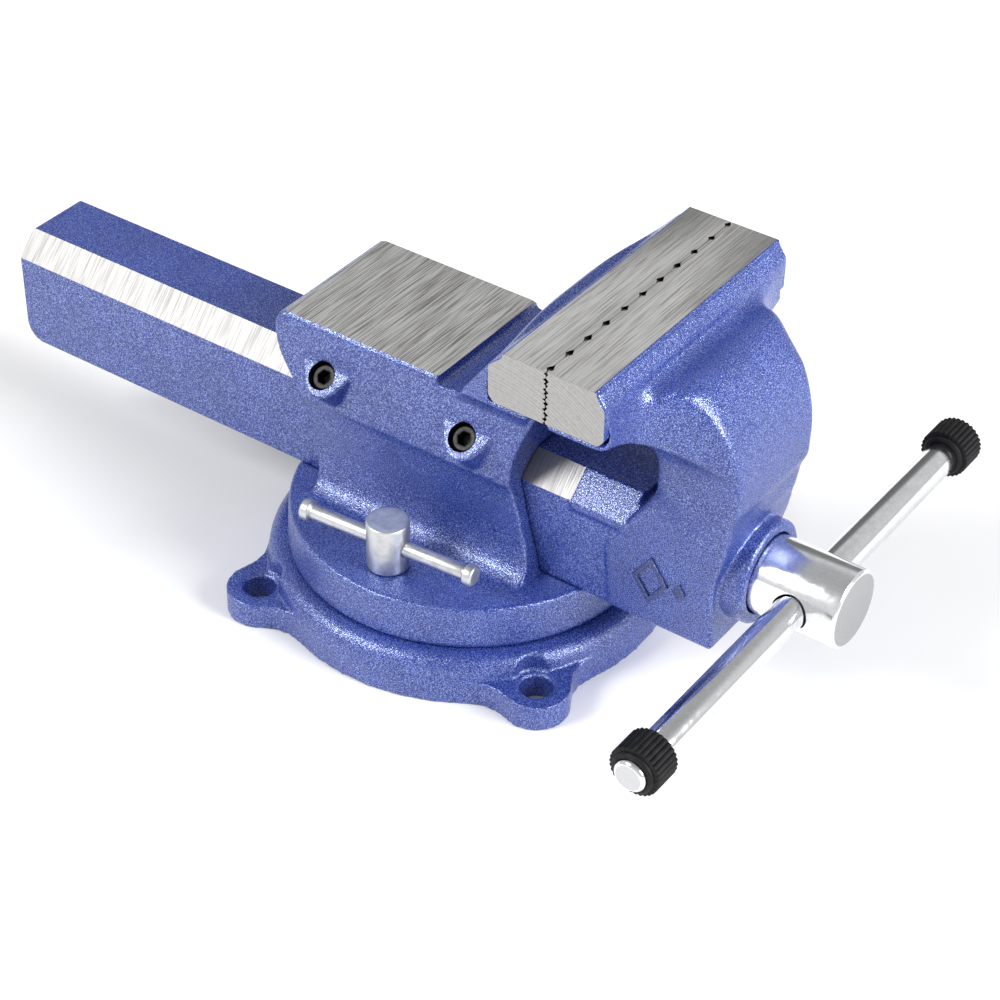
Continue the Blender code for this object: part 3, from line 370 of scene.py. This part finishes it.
def rounded(points, radius, steps=3):
    """A polyline with each inner corner turned into a short curve, which takes under half an edge."""
    made = [points[0]]
    for before, corner, after in zip(points, points[1:], points[2:]):
        corner_v, before_v, after_v = Vector(corner), Vector(before), Vector(after)
        reach = min(radius, (before_v - corner_v).length / 2.01, (after_v - corner_v).length / 2.01)
        start = corner_v + (before_v - corner_v).normalized() * reach
        end = corner_v + (after_v - corner_v).normalized() * reach
        for step in range(steps + 1):
            t = step / steps
            made.append(tuple(start * (1 - t) ** 2 + corner_v * 2 * t * (1 - t) + end * t ** 2))
    made.append(points[-1])
    return made


def revolve(name, profile, segments, matrix=None, loop=False, radius_at=None):
    """A closed solid turned about Z from (radius, height) points, ends on the axis unless loop."""
    bm = bmesh.new()
    rings = []
    for radius, height in profile:
        if radius < 1e-9:
            rings.append([bm.verts.new((0, 0, height))])
            continue
        ring = []
        for k in range(segments):
            angle = 2 * pi * k / segments
            r = radius_at(radius, angle) if radius_at else radius
            ring.append(bm.verts.new((r * cos(angle), r * sin(angle), height)))
        rings.append(ring)
    pairs = list(zip(rings, rings[1:]))
    if loop:
        pairs.append((rings[-1], rings[0]))
    for upper, lower in pairs:
        for k in range(segments):
            corners = [upper[k % len(upper)], upper[(k + 1) % len(upper)],
                       lower[(k + 1) % len(lower)], lower[k % len(lower)]]
            bm.faces.new(dict.fromkeys(corners))
    return from_bmesh(name, bm, matrix)


def prism_faces(bm, outline, low, high, axis):
    """Adds a prism: the outline's two coordinates are the axes other than the given one, in order."""
    rings = []
    for level in (low, high):
        ring = []
        for a, b in outline:
            co = [a, b]
            co.insert(axis, level)
            ring.append(bm.verts.new(co))
        rings.append(ring)
    made = [bm.faces.new(rings[0]), bm.faces.new(rings[1][::-1])]
    for k in range(len(outline)):
        j = (k + 1) % len(outline)
        made.append(bm.faces.new((rings[0][k], rings[1][k], rings[1][j], rings[0][j])))
    return made


def prism(name, outline, low, high, axis):
    bm = bmesh.new()
    prism_faces(bm, outline, low, high, axis)
    return from_bmesh(name, bm)


def box_faces(bm, low, high):
    """Adds a box between two corners."""
    made = bmesh.ops.create_cube(bm, size=1.0)["verts"]
    bmesh.ops.scale(bm, vec=Vector(high) - Vector(low), verts=made)
    bmesh.ops.translate(bm, vec=(Vector(high) + Vector(low)) / 2, verts=made)


def rod_faces(bm, radius, low, high, matrix):
    """Adds a closed cylinder along the matrix's Z axis."""
    place = matrix @ Matrix.Translation((0, 0, (low + high) / 2))
    bmesh.ops.create_cone(bm, cap_ends=True, segments=64, radius1=radius, radius2=radius,
                          depth=high - low, matrix=place)


def cut(obj, cutter):
    modifier = obj.modifiers.new("cut", "BOOLEAN")
    modifier.operation = "DIFFERENCE"
    modifier.solver = "EXACT"
    modifier.object = cutter
    apply_modifiers(obj)
    bpy.data.objects.remove(cutter, do_unlink=True)
    return obj


def drill(obj, radius, segments, matrix):
    """Cuts a hole right through, along the matrix's Z axis."""
    reach = 0.03
    profile = [(0, reach), (radius, reach), (radius, -reach), (0, -reach)]
    return cut(obj, revolve("hole", profile, segments, matrix))


def add_bevel(obj, width, angle=None):
    """A two-step bevel on edges sharper than the angle, or on the weighted edges without one."""
    modifier = obj.modifiers.new("edges", "BEVEL")
    modifier.width = width
    modifier.segments = 2
    modifier.limit_method = "WEIGHT" if angle is None else "ANGLE"
    if angle is not None:
        modifier.angle_limit = radians(angle)


def bevelled(obj, width, angle=None):
    add_bevel(obj, width, angle)
    return apply_modifiers(obj)


ALONG_X = Matrix.Rotation(pi / 2, 4, "Y")
ALONG_Y = Matrix.Rotation(-pi / 2, 4, "X")
SCREW_AXIS = Matrix.Translation((0, 0, SCREW_HEIGHT)) @ ALONG_X
HANDLE_AXIS = Matrix.Translation((HANDLE_X, 0, SCREW_HEIGHT)) @ ALONG_Y


# Castings ------------------------------------------------------------------------------------
def ramp_up(value, start, end):
    return np.clip((value - start) / (end - start), 0, 1)


def overlap(ramps, co):
    """How far each point lies inside all the ramps, from nought to one."""
    weight = 1.0
    for axis, start, end, rises in ramps:
        part = ramp_up(np.abs(co[:, 1]) if axis == 1 else co[:, axis], start, end)
        weight = weight * (part if rises else 1 - part)
    return weight


def relax(mesh, ramps, rounds):
    """Moves each point towards the mean of its neighbours, the more the further in it lies."""
    co = np.empty(len(mesh.vertices) * 3)
    mesh.vertices.foreach_get("co", co)
    co = co.reshape(-1, 3)
    ends = np.empty(len(mesh.edges) * 2, dtype=np.int64)
    mesh.edges.foreach_get("vertices", ends)
    a, b = ends[::2], ends[1::2]
    count = np.maximum(np.bincount(ends, minlength=len(co)), 1)[:, None]
    weight = 0.5 * np.clip(overlap(ramps, co), 0, 1)[:, None]
    for _ in range(rounds):
        around = np.stack([np.bincount(a, co[b, k], len(co)) + np.bincount(b, co[a, k], len(co))
                           for k in range(3)], axis=1) / count
        co += weight * (around - co)
    mesh.vertices.foreach_set("co", co.ravel())
    mesh.update()


def jaw_backing(bm, direction, cove, proud):
    """Adds the casting's metal that runs up behind a jaw to the edge of its ground top."""
    front = JAW_DEPTH - cove
    outline = [(front - 0.0040, 0.2042), (front + 0.0002, 0.2042),
               (front + 0.25 * cove + proud, 0.2014), (front + 0.88 * cove + proud, 0.1974),
               (JAW_DEPTH + proud, 0.1955), (JAW_DEPTH + proud, 0.1880),
               (JAW_DEPTH - 0.0060, 0.1840), (front - 0.0040, 0.1900)]
    outline = [(JAW_FACE_X + direction * across, up) for across, up in outline]
    half = JAW_HALF_WIDTH - 0.0002
    made = prism_faces(bm, outline, -half, half, 1)
    bmesh.ops.recalc_face_normals(bm, faces=made)


def cast_skin(name, node, stock=(), plugs=(), backing=None, relaxed=()):
    """The casting's solid with every cast edge and corner eased, as sand moulding leaves them.

    stock and plugs are extra metal that a later machining cut removes, so it keeps a crisp edge.
    """
    bm = bmesh.new()
    bm.from_mesh(NODES[node].data)
    bmesh.ops.remove_doubles(bm, verts=bm.verts, dist=WELD)
    for low, high in stock:
        box_faces(bm, low, high)
    for radius, low, high, matrix in plugs:
        rod_faces(bm, radius, low, high, matrix)
    if backing:
        jaw_backing(bm, *backing)
    obj = object_from(name, bm)
    remesh = obj.modifiers.new("skin", "REMESH")
    remesh.mode = "VOXEL"
    remesh.voxel_size = CAST_VOXEL
    ease = obj.modifiers.new("ease", "SMOOTH")
    ease.factor = 0.5
    ease.iterations = CAST_SMOOTHING
    apply_modifiers(obj)
    for ramps, rounds in relaxed:
        relax(obj.data, ramps, rounds)
    thin = obj.modifiers.new("thin", "DECIMATE")
    thin.ratio = CAST_KEPT
    return apply_modifiers(obj)


def mark_machined(obj, look):
    """Gives each face the material look(centre, normal) names, with crisp borders between them."""
    bm = bmesh.new()
    bm.from_mesh(obj.data)
    for face in bm.faces:
        face.material_index = look(face.calc_center_median(), face.normal)
        face.smooth = True
    for edge in bm.edges:
        kinds = {face.material_index for face in edge.link_faces}
        crease = len(edge.link_faces) == 2 and edge.calc_face_angle(0.0) > radians(CAST_CREASE)
        edge.smooth = len(kinds) == 1 and not crease
    bm.to_mesh(obj.data)
    bm.free()
    return obj


def build_base():
    obj = cast_skin("base_casting", "base_plate")
    paint(obj, PAINT)
    smooth_shade(obj, CAST_CREASE)
    return piece(obj, "base", "blue_paint", "base_plate")


def set_screw_spot(x, side):
    """The mouth of a set screw's bore, in a boss that leans out at 45 degrees."""
    tilt = Matrix.Rotation(radians(-45) * side, 4, "X")
    return Matrix.Translation((x, side * SET_SCREW_Y, SET_SCREW_Z)) @ tilt


def build_swivel():
    past = 0.0036
    stock = [((ANVIL_BACK, -ANVIL_HALF_WIDTH, 0.138), (ANVIL_FRONT, ANVIL_HALF_WIDTH, ANVIL_TOP + 0.005))]
    spots = [set_screw_spot(x, side) for side in (-1, 1) for x in SET_SCREW_XS]
    plugs = [(BORE_RADIUS + 0.0006, -0.018, -0.0002, spot) for spot in spots]
    obj = cast_skin("swivel_casting", "swivel_body", stock, plugs, (-1, FIXED_COVE, 0.0004))
    over = bmesh.new()
    box_faces(over, (-0.12, -0.08, ANVIL_TOP), (ANVIL_FRONT + past, 0.08, ANVIL_TOP + 0.02))
    cut(obj, from_bmesh("over_anvil", over))
    for spot in spots:
        bore = bmesh.new()
        rod_faces(bore, BORE_RADIUS, -0.0240, 0.008, spot)
        cut(obj, from_bmesh("bore", bore))
    # The set screw bores' walls take the third, near-black material: painted shade down the bores.
    paint(obj, PAINT, STEEL_ANVIL, BLACK)

    def look(centre, normal):
        if normal.z > 0.99 and abs(centre.z - ANVIL_TOP) < 1e-5 and centre.x < ANVIL_FRONT + 0.004:
            return 1
        for spot in spots:
            local = spot.inverted() @ centre
            # A bore's wall: near black, as painted shade.
            if abs(hypot(local.x, local.y) - BORE_RADIUS) < 3e-5 and local.z < 0.001:
                return 2
        return 0

    mark_machined(obj, look)
    return piece(obj, "swivel", "blue_paint", "swivel_body")


def build_moving_jaw():
    shoulder, overrun, reach = 0.001, 0.0022, 0.012
    chamfer = BAR_HALF_WIDTH + BAR_TOP - BAR_CHAMFER    # |y| + z anywhere on a chamfer
    stock = []
    for side in (-1, 1):
        near, far = sorted((side * (BAR_HALF_WIDTH - BAR_CHAMFER - shoulder), side * BAR_HALF_WIDTH))
        stock.append(((BAR_BACK, near, BAR_TOP - BAR_CHAMFER - shoulder),
                      (MACHINED_FRONT - overrun, far, BAR_TOP)))
    obj = cast_skin("jaw_casting", "moving_jaw", stock, backing=(1, MOVING_COVE, 0.0009),
                    relaxed=((ARM, 24), (ARM_ROOT, 60), (VALLEY, 150)))
    for side in (-1, 1):
        outline = [(side * (BAR_HALF_WIDTH + reach), chamfer - BAR_HALF_WIDTH - reach),
                   (side * (BAR_HALF_WIDTH + reach), BAR_TOP + reach),
                   (side * (chamfer - BAR_TOP - reach), BAR_TOP + reach)]
        cut(obj, prism("chamfer_cut", outline, BAR_BACK - 0.02, MACHINED_FRONT, 0))
    paint(obj, PAINT, STEEL_BAR)

    def look(centre, normal):
        on_chamfer = abs(abs(centre.y) + centre.z - chamfer) < 2e-5 and normal.z > 0.6
        return int(on_chamfer and centre.x < MACHINED_FRONT + 1e-4 and centre.z > 0.09)

    mark_machined(obj, look)
    return piece(obj, "slider", "blue_paint", "moving_jaw")


def build_mark():
    """A plain raised lozenge outline and a small solid lozenge on the near side of the front block."""
    height, proud, sunk, edge = 0.0745, 0.0014, -0.0006, 0.0004
    ring_x, outer, inner = 0.1255, (0.0100, 0.0138), (0.0068, 0.0094)
    small_x, small, small_top = 0.1415, (0.0036, 0.0050), (0.0032, 0.0045)
    bm = bmesh.new()

    def corners(x, half_x, half_z, out):
        points = [(half_x, 0), (0, half_z), (-half_x, 0), (0, -half_z)]
        return [bm.verts.new((x + a, FRONT_BLOCK_SIDE - out, height + b)) for a, b in points]

    def shell(loops):
        for first, second in zip(loops, loops[1:]):
            for k in range(4):
                bm.faces.new((first[k], first[(k + 1) % 4], second[(k + 1) % 4], second[k]))

    outline = [(outer, sunk), (outer, proud - edge), (tuple(v - edge for v in outer), proud),
               (tuple(v + edge for v in inner), proud), (inner, proud - edge), (inner, sunk)]
    loops = [corners(ring_x, *half, out) for half, out in outline]
    shell(loops + loops[:1])
    solid = [(small, sunk), (small, proud - edge), (small_top, proud)]
    loops = [corners(small_x, *half, out) for half, out in solid]
    shell(loops)
    bm.faces.new(loops[-1])
    bm.faces.new(loops[0])
    mark = from_bmesh("cast_mark", bm)
    bevelled(mark, 0.0003, 30)
    # The mark gets the darkened enamel copy: painted shade.
    paint(mark, PAINT_SHADED)
    smooth_shade(mark, 60)
    return piece(mark, "slider", "blue_paint")


# Jaw blocks ----------------------------------------------------------------------------------
SERRATION_Y, SERRATION_Z = 0.0146, 0.0056       # pitch of the crossed grooves along and up a jaw
GROOVES = ((-1, 0.00105), (1, 0.00160))         # each family's slant and depth
GROOVE_HALF_WIDTH, NICK_DEPTH, FADE_LENGTH = 0.00105, 0.00005, 0.0012
JAW_COLUMNS, JAW_ROWS, FACE_GAP = 420, 78, 0.00013
TOP, END, FACE, BACK = range(4)                 # a jaw block's materials


def serration(y, z, direction):
    """Depth of the crossed grooves milled in a jaw's face; the two faces don't quite line up."""
    reach = 1 / hypot(1 / SERRATION_Y, 1 / SERRATION_Z)
    depth = 0.0
    for slant, cut_depth in GROOVES:
        u = y / SERRATION_Y + slant * (z - JAW_TOP) / (SERRATION_Z * (1 + 0.06 * direction))
        wander = 0.02 * sin(410 * y + 1.7)
        away = abs((u + wander + 0.5) % 1.0 - 0.5) * reach
        half = GROOVE_HALF_WIDTH + 0.00022 * sin(90 * y + direction)
        depth = max(depth, cut_depth * max(0.0, 1 - away / half))
    nick = (1 + sin(2100 * y + 900 * z)) * (1 + sin(3100 * y + 2 * direction)) / 4
    return (depth + NICK_DEPTH * nick) * min(1.0, (JAW_HALF_WIDTH - y) / FADE_LENGTH)


def jaw_block(name, node, direction, cove, body):
    """A steel jaw: milled outside, crossed serrations on its face, painted behind."""
    bm = bmesh.new()
    weight = bm.edges.layers.float.new("bevel_weight_edge")
    face_x = JAW_FACE_X + direction * FACE_GAP
    grid = []
    for i in range(JAW_COLUMNS + 1):
        y = -JAW_HALF_WIDTH + 2 * JAW_HALF_WIDTH * i / JAW_COLUMNS
        column = []
        for j in range(JAW_ROWS + 1):
            z = JAW_SEAT + (JAW_TOP - JAW_SEAT) * j / JAW_ROWS
            column.append(bm.verts.new((face_x + direction * serration(y, z, direction), y, z)))
        grid.append(column)
    for left, right in zip(grid, grid[1:]):
        for j in range(JAW_ROWS):
            bm.faces.new((left[j], right[j], right[j + 1], left[j + 1])).material_index = FACE
    back = rounded([(0.0, JAW_SEAT), (JAW_DEPTH - 0.0030, JAW_SEAT), (JAW_DEPTH, JAW_SEAT + 0.0036),
                    (JAW_DEPTH, 0.1962), (JAW_DEPTH - cove, 0.2024), (JAW_DEPTH - cove, JAW_TOP),
                    (0.0, JAW_TOP)], 0.0012)[1:-1]
    rails = []
    for y in (-JAW_HALF_WIDTH, JAW_HALF_WIDTH):
        rails.append([bm.verts.new((JAW_FACE_X + direction * across, y, up)) for across, up in back])
    for k in range(len(back) - 1):
        level_top = back[k][1] > JAW_TOP - 1e-6 and back[k + 1][1] > JAW_TOP - 1e-6
        face = bm.faces.new((rails[0][k], rails[0][k + 1], rails[1][k + 1], rails[1][k]))
        face.material_index = TOP if level_top else BACK
        face.smooth = True
    flats = []
    for k, row, look in ((-1, JAW_ROWS, TOP), (0, 0, BACK)):
        flats.append(bm.faces.new([rails[0][k], rails[1][k]] + [column[row] for column in grid[::-1]]))
        flats[-1].material_index = look
    for rail, column in ((rails[0], grid[0]), (rails[1], grid[-1])):
        flats.append(bm.faces.new(rail + column[::-1]))
        flats[-1].material_index = END
    bmesh.ops.recalc_face_normals(bm, faces=bm.faces)
    for edge in {edge for face in flats for edge in face.edges}:
        if not any(face.material_index == FACE for face in edge.link_faces):
            edge[weight] = 1.0
    obj = object_from(name, bm)
    paint(obj, STEEL_JAW, STEEL_END, STEEL_FACE, PAINT)
    bevelled(obj, 0.00028)
    smooth_shade(obj, 20)
    return piece(obj, body, "machined_steel", node)


# Screw, handle and locks ---------------------------------------------------------------------
def build_screw_head(low, high):
    radius, ease = (high.z - low.z) / 2, 0.0013
    collar, collar_front, collar_back = 0.012, 0.1535, 0.098
    profile = [(0, high.x), (radius - ease, high.x), (radius, high.x - ease), (radius, collar_front),
               (collar, collar_front), (collar, collar_back), (0, collar_back)]
    head = revolve("screw_head", rounded(profile, 0.0004, 2), 128, SCREW_AXIS)
    drill(head, 0.00905, 72, HANDLE_AXIS)
    bevelled(head, 0.00045, 50)
    paint(head, CHROME_X, SATIN_HEAD)
    for face in head.data.polygons:
        if face.normal.x > 0.99 and face.center.x > high.x - 1e-4:
            face.material_index = 1
    smooth_shade(head, 30)
    piece(head, "screw", "chrome", "lead_screw")


def build_screw_thread(low):
    """The thread as one long helical strip, with a plain core through it."""
    pitch, front, limit, steps = 0.006, 0.082, 0.088, 40
    crest, root, core_radius = 0.0120, 0.0094, 0.0093
    section = [(root, 0.0), (root, 0.18), (crest, 0.32), (crest, 0.68), (root, 0.82)]
    back = low.x + 0.003
    count = int((front - back) / pitch * steps)
    bm = bmesh.new()
    rows = []
    for k in range(count + steps + 1):
        angle = 2 * pi * k / steps
        base = back - pitch + pitch * k / steps
        row = []
        for radius, part in section:
            x = min(max(base + part * pitch, low.x), limit)
            row.append(bm.verts.new((x, radius * cos(angle), SCREW_HEIGHT + radius * sin(angle))))
        rows.append(row)
    for first, second in zip(rows, rows[1:]):
        for a in range(len(section) - 1):
            bm.faces.new((first[a], first[a + 1], second[a + 1], second[a]))
    for k in range(len(rows) - steps - 1):
        bm.faces.new((rows[k][-1], rows[k + steps][0], rows[k + steps + 1][0], rows[k + 1][-1]))
    thread = from_bmesh("screw_thread", bm)
    profile = [(0, 0.0985), (crest, 0.0985), (crest, front), (core_radius, front - 0.0005),
               (core_radius, low.x + 0.002), (0.0075, low.x), (0, low.x)]
    core = revolve("core", profile, 48, SCREW_AXIS)
    joined = bmesh.new()
    joined.from_mesh(thread.data)
    joined.from_mesh(core.data)
    joined.to_mesh(thread.data)
    joined.free()
    bpy.data.objects.remove(core, do_unlink=True)
    paint(thread, STEEL_TURNED)
    smooth_shade(thread, 28)
    piece(thread, "screw", "machined_steel")


def build_handle():
    low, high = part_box("handle_bar")
    left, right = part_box("handle_cap_left"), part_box("handle_cap_right")
    radius, ease, gap = (high.z - low.z) / 2, 0.0012, 0.0003
    neck = radius - gap
    profile = [(0, high.y), (neck - ease, high.y), (neck, high.y - ease), (neck, right[0].y - gap),
               (radius, right[0].y - gap), (radius, left[1].y + gap), (neck, left[1].y + gap),
               (neck, low.y + ease), (neck - ease, low.y), (0, low.y)]
    bar = revolve("handle_rod", rounded(profile, 0.0005, 2), 96, HANDLE_AXIS)
    paint(bar, CHROME_Y, SATIN_END)
    for face in bar.data.polygons:
        if abs(face.normal.y) > 0.99:
            face.material_index = 1
    smooth_shade(bar, 30)
    piece(bar, "handle", "chrome", "handle_bar")
    for name, (bottom, top) in (("left", left), ("right", right)):
        build_cap(name, bottom.y, top.y, (top.z - bottom.z) / 2, neck + gap)


def build_cap(name, low, high, radius, inner):
    """A rubber cap: ribs from end to end between two smaller smooth collars."""
    ribs, rib_depth, collar, step, ease = 30, 0.00085, radius - 0.0022, 0.0019, 0.0005

    def ribbed(r, angle):
        if r < radius - 0.0012:
            return r
        wave = abs(cos(ribs * angle / 2)) ** 0.7
        return r - rib_depth * (1 - wave)

    half = [(inner, high), (collar - 0.0010, high), (collar, high - 0.0008), (collar, high - step)]
    half = rounded(half, 0.0008) + [(radius - 0.0011, high - step), (radius, high - step - ease)]
    mirror = [(r, low + high - h) for r, h in reversed(half)]
    body = [(radius, high - step - ease - (high - low - 2 * step - 0.001) * k / 5) for k in range(1, 5)]
    cap = revolve("handle_grip_" + name, half + body + mirror, ribs * 12, HANDLE_AXIS, loop=True,
                  radius_at=ribbed)
    paint(cap, RUBBER)
    smooth_shade(cap, 32)
    piece(cap, "handle", "rubber", "handle_cap_" + name)


def build_lock(side, name):
    """One of the swivel's lock bolts, with the small sliding bar through its head."""
    y = side * LOCK_Y
    low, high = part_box("lock_bolt_" + name)
    spot = Matrix.Translation((LOCK_X, y, 0))
    yaw = Matrix.Rotation(radians(LOCK_YAW), 4, "Z")
    across = Matrix.Translation((LOCK_X, y, LOCK_BAR_HEIGHT)) @ yaw @ ALONG_X
    radius, seat, shank = 0.0107, 0.0495, 0.006
    profile = [(0, high.z - 0.0002), (radius * 0.6, high.z), (radius, high.z), (radius, seat),
               (shank, seat), (shank, low.z + 0.001), (shank - 0.001, low.z), (0, low.z)]
    bolt = revolve("lock_head_" + name, rounded(profile, 0.0013, 4), 96, spot)
    drill(bolt, 0.00405, 48, across)
    bevelled(bolt, 0.0004, 50)
    paint(bolt, ZINC)
    smooth_shade(bolt, 35)
    piece(bolt, "lock_" + name, "zinc_plate", "lock_bolt_" + name)

    end, knob, rod, neck = 0.0495, 0.0055, 0.00375, 0.00355
    half = rounded([(0, end), (knob - 0.0002, end), (knob, end - 0.0048), (knob - 0.0014, end - 0.0056)],
                   0.0016, 5)
    half += [(neck, end - 0.0060), (neck, end - 0.0064), (rod, end - 0.0068), (rod, end - 0.02)]
    profile = half + [(r, -h) for r, h in reversed(half)]
    bar = revolve("lock_rod_" + name, profile, 56, across)
    paint(bar, ZINC)
    smooth_shade(bar, 40)
    piece(bar, "bar_" + name, "zinc_plate", "lock_bar_" + name)


def build_set_screw(x, side, name):
    spot = set_screw_spot(x, side)
    radius, top, bottom, key, socket_floor = 0.0069, -0.0025, -0.0233, 0.0066, -0.0095
    profile = [(0, top), (radius - 0.0010, top), (radius, top - 0.0009), (radius, bottom + 0.001),
               (radius - 0.001, bottom), (0, bottom)]
    screw = revolve("socket_screw_" + name, rounded(profile, 0.0004, 2), 64, spot)
    corner = key / sqrt(3)
    hexagon = [(corner * cos(radians(60 * k)), corner * sin(radians(60 * k))) for k in range(6)]
    socket = prism("socket", hexagon, socket_floor, 0.01, 2)
    socket.data.transform(spot)
    cut(screw, socket)
    bevelled(screw, 0.0003, 50)
    paint(screw, BLACK)
    smooth_shade(screw, 30)
    piece(screw, "swivel", "black_steel", "set_screw_" + name)


def finish_hidden():
    """Hidden pieces keep their solids and get materials and eased edges."""
    looks = {"pivot_pin": STEEL_TURNED, "thrust_washer": BRONZE, "screw_collar": STEEL_TURNED,
             "collar_pin": STEEL_TURNED, "spindle_nut": BRONZE, "nut_bolt_rear": BLACK,
             "nut_bolt_front": BLACK}
    for side in ("left", "right"):
        looks["fixed_jaw_screw_" + side] = BLACK
        looks["moving_jaw_screw_" + side] = BLACK
        looks["lock_nut_" + side] = ZINC
        looks["gib_strip_" + side] = BRONZE
    for node, look in looks.items():
        add_bevel(paint(NODES[node], look), 0.0003, 50)


def build_vise():
    build_base()
    build_swivel()
    build_moving_jaw()
    build_mark()
    jaw_block("fixed_jaw_head", "fixed_jaw_block", -1, FIXED_COVE, "swivel")
    jaw_block("moving_jaw_head", "moving_jaw_block", 1, MOVING_COVE, "slider")
    screw_low, screw_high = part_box("lead_screw")
    build_screw_head(screw_low, screw_high)
    build_screw_thread(screw_low)
    build_handle()
    for side, name in ((-1, "left"), (1, "right")):
        build_lock(side, name)
        for place, x in zip(("rear", "front"), SET_SCREW_XS):
            build_set_screw(x, side, place + "_" + name)
    finish_hidden()


# Floor, light and camera -----------------------------------------------------------------------
def build_floor():
    bm = bmesh.new()
    bmesh.ops.create_grid(bm, x_segments=1, y_segments=1, size=FLOOR_HALF_SIZE)
    floor = from_bmesh("floor", bm)
    floor.location.z = -FLOOR_DROP
    paint(floor, floor_paint())


def studio_lamp(name, direction, strength, spread):
    """A broad even lamp a long way off, so the floor is lit alike all over."""
    data = bpy.data.lights.new(name, "SUN")
    data.energy = strength
    data.angle = radians(spread)
    light = new_object(name, data)
    toward = Vector(direction).normalized()
    light.location = Vector(LAMP_CENTRE) + toward * LAMP_DISTANCE
    light.rotation_mode = "QUATERNION"
    light.rotation_quaternion = toward.to_track_quat("Z", "Y")


def build_light():
    """A pale studio: white near the horizon, greyer overhead, with a darker side for contrast."""
    world = bpy.data.worlds.new("studio")
    bpy.context.scene.world = world
    n = Nodes(world, "OutputWorld", "Background", "Generated")
    up = n.add("SeparateXYZ", Vector=n.place).outputs["Z"]
    height = n.ramp(up, (0.0, 0.85), (0.22, 1.0), (0.60, 0.92), (0.80, 0.62), (1.0, 0.55))
    toward = n.vector("DOT_PRODUCT", Vector(DARK_SIDE).normalized(), output="Value")
    side = n.ramp(toward, (0.0, 1.0), (0.86, 1.0), (0.94, 0.30), (1.0, 0.22))
    n.set(Color=n.mix(1.0, height, side, "MULTIPLY"), Strength=STUDIO_STRENGTH)
    for lamp in LAMPS:
        studio_lamp(*lamp)


def build_camera():
    data = bpy.data.cameras.new("camera")
    data.sensor_width = CAMERA_SENSOR
    data.lens = CAMERA_LENS
    data.clip_start, data.clip_end = CAMERA_CLIP
    camera = new_object("camera", data)
    azimuth, elevation, roll = radians(CAMERA_AZIMUTH), radians(CAMERA_ELEVATION), radians(CAMERA_ROLL)
    back = Vector((sin(azimuth) * cos(elevation), -cos(azimuth) * cos(elevation), sin(elevation)))
    right = (-back).cross(Vector((0, 0, 1))).normalized()
    up = right.cross(-back)
    across = cos(roll) * right + sin(roll) * up
    upward = -sin(roll) * right + cos(roll) * up
    turn = Matrix((across, upward, back)).transposed().to_4x4()
    camera.matrix_world = Matrix.Translation(CAMERA_PLACE) @ turn
    bpy.context.scene.camera = camera
    bpy.context.scene.view_settings.view_transform = "Standard"


build_vise()
build_floor()
build_light()
build_camera()
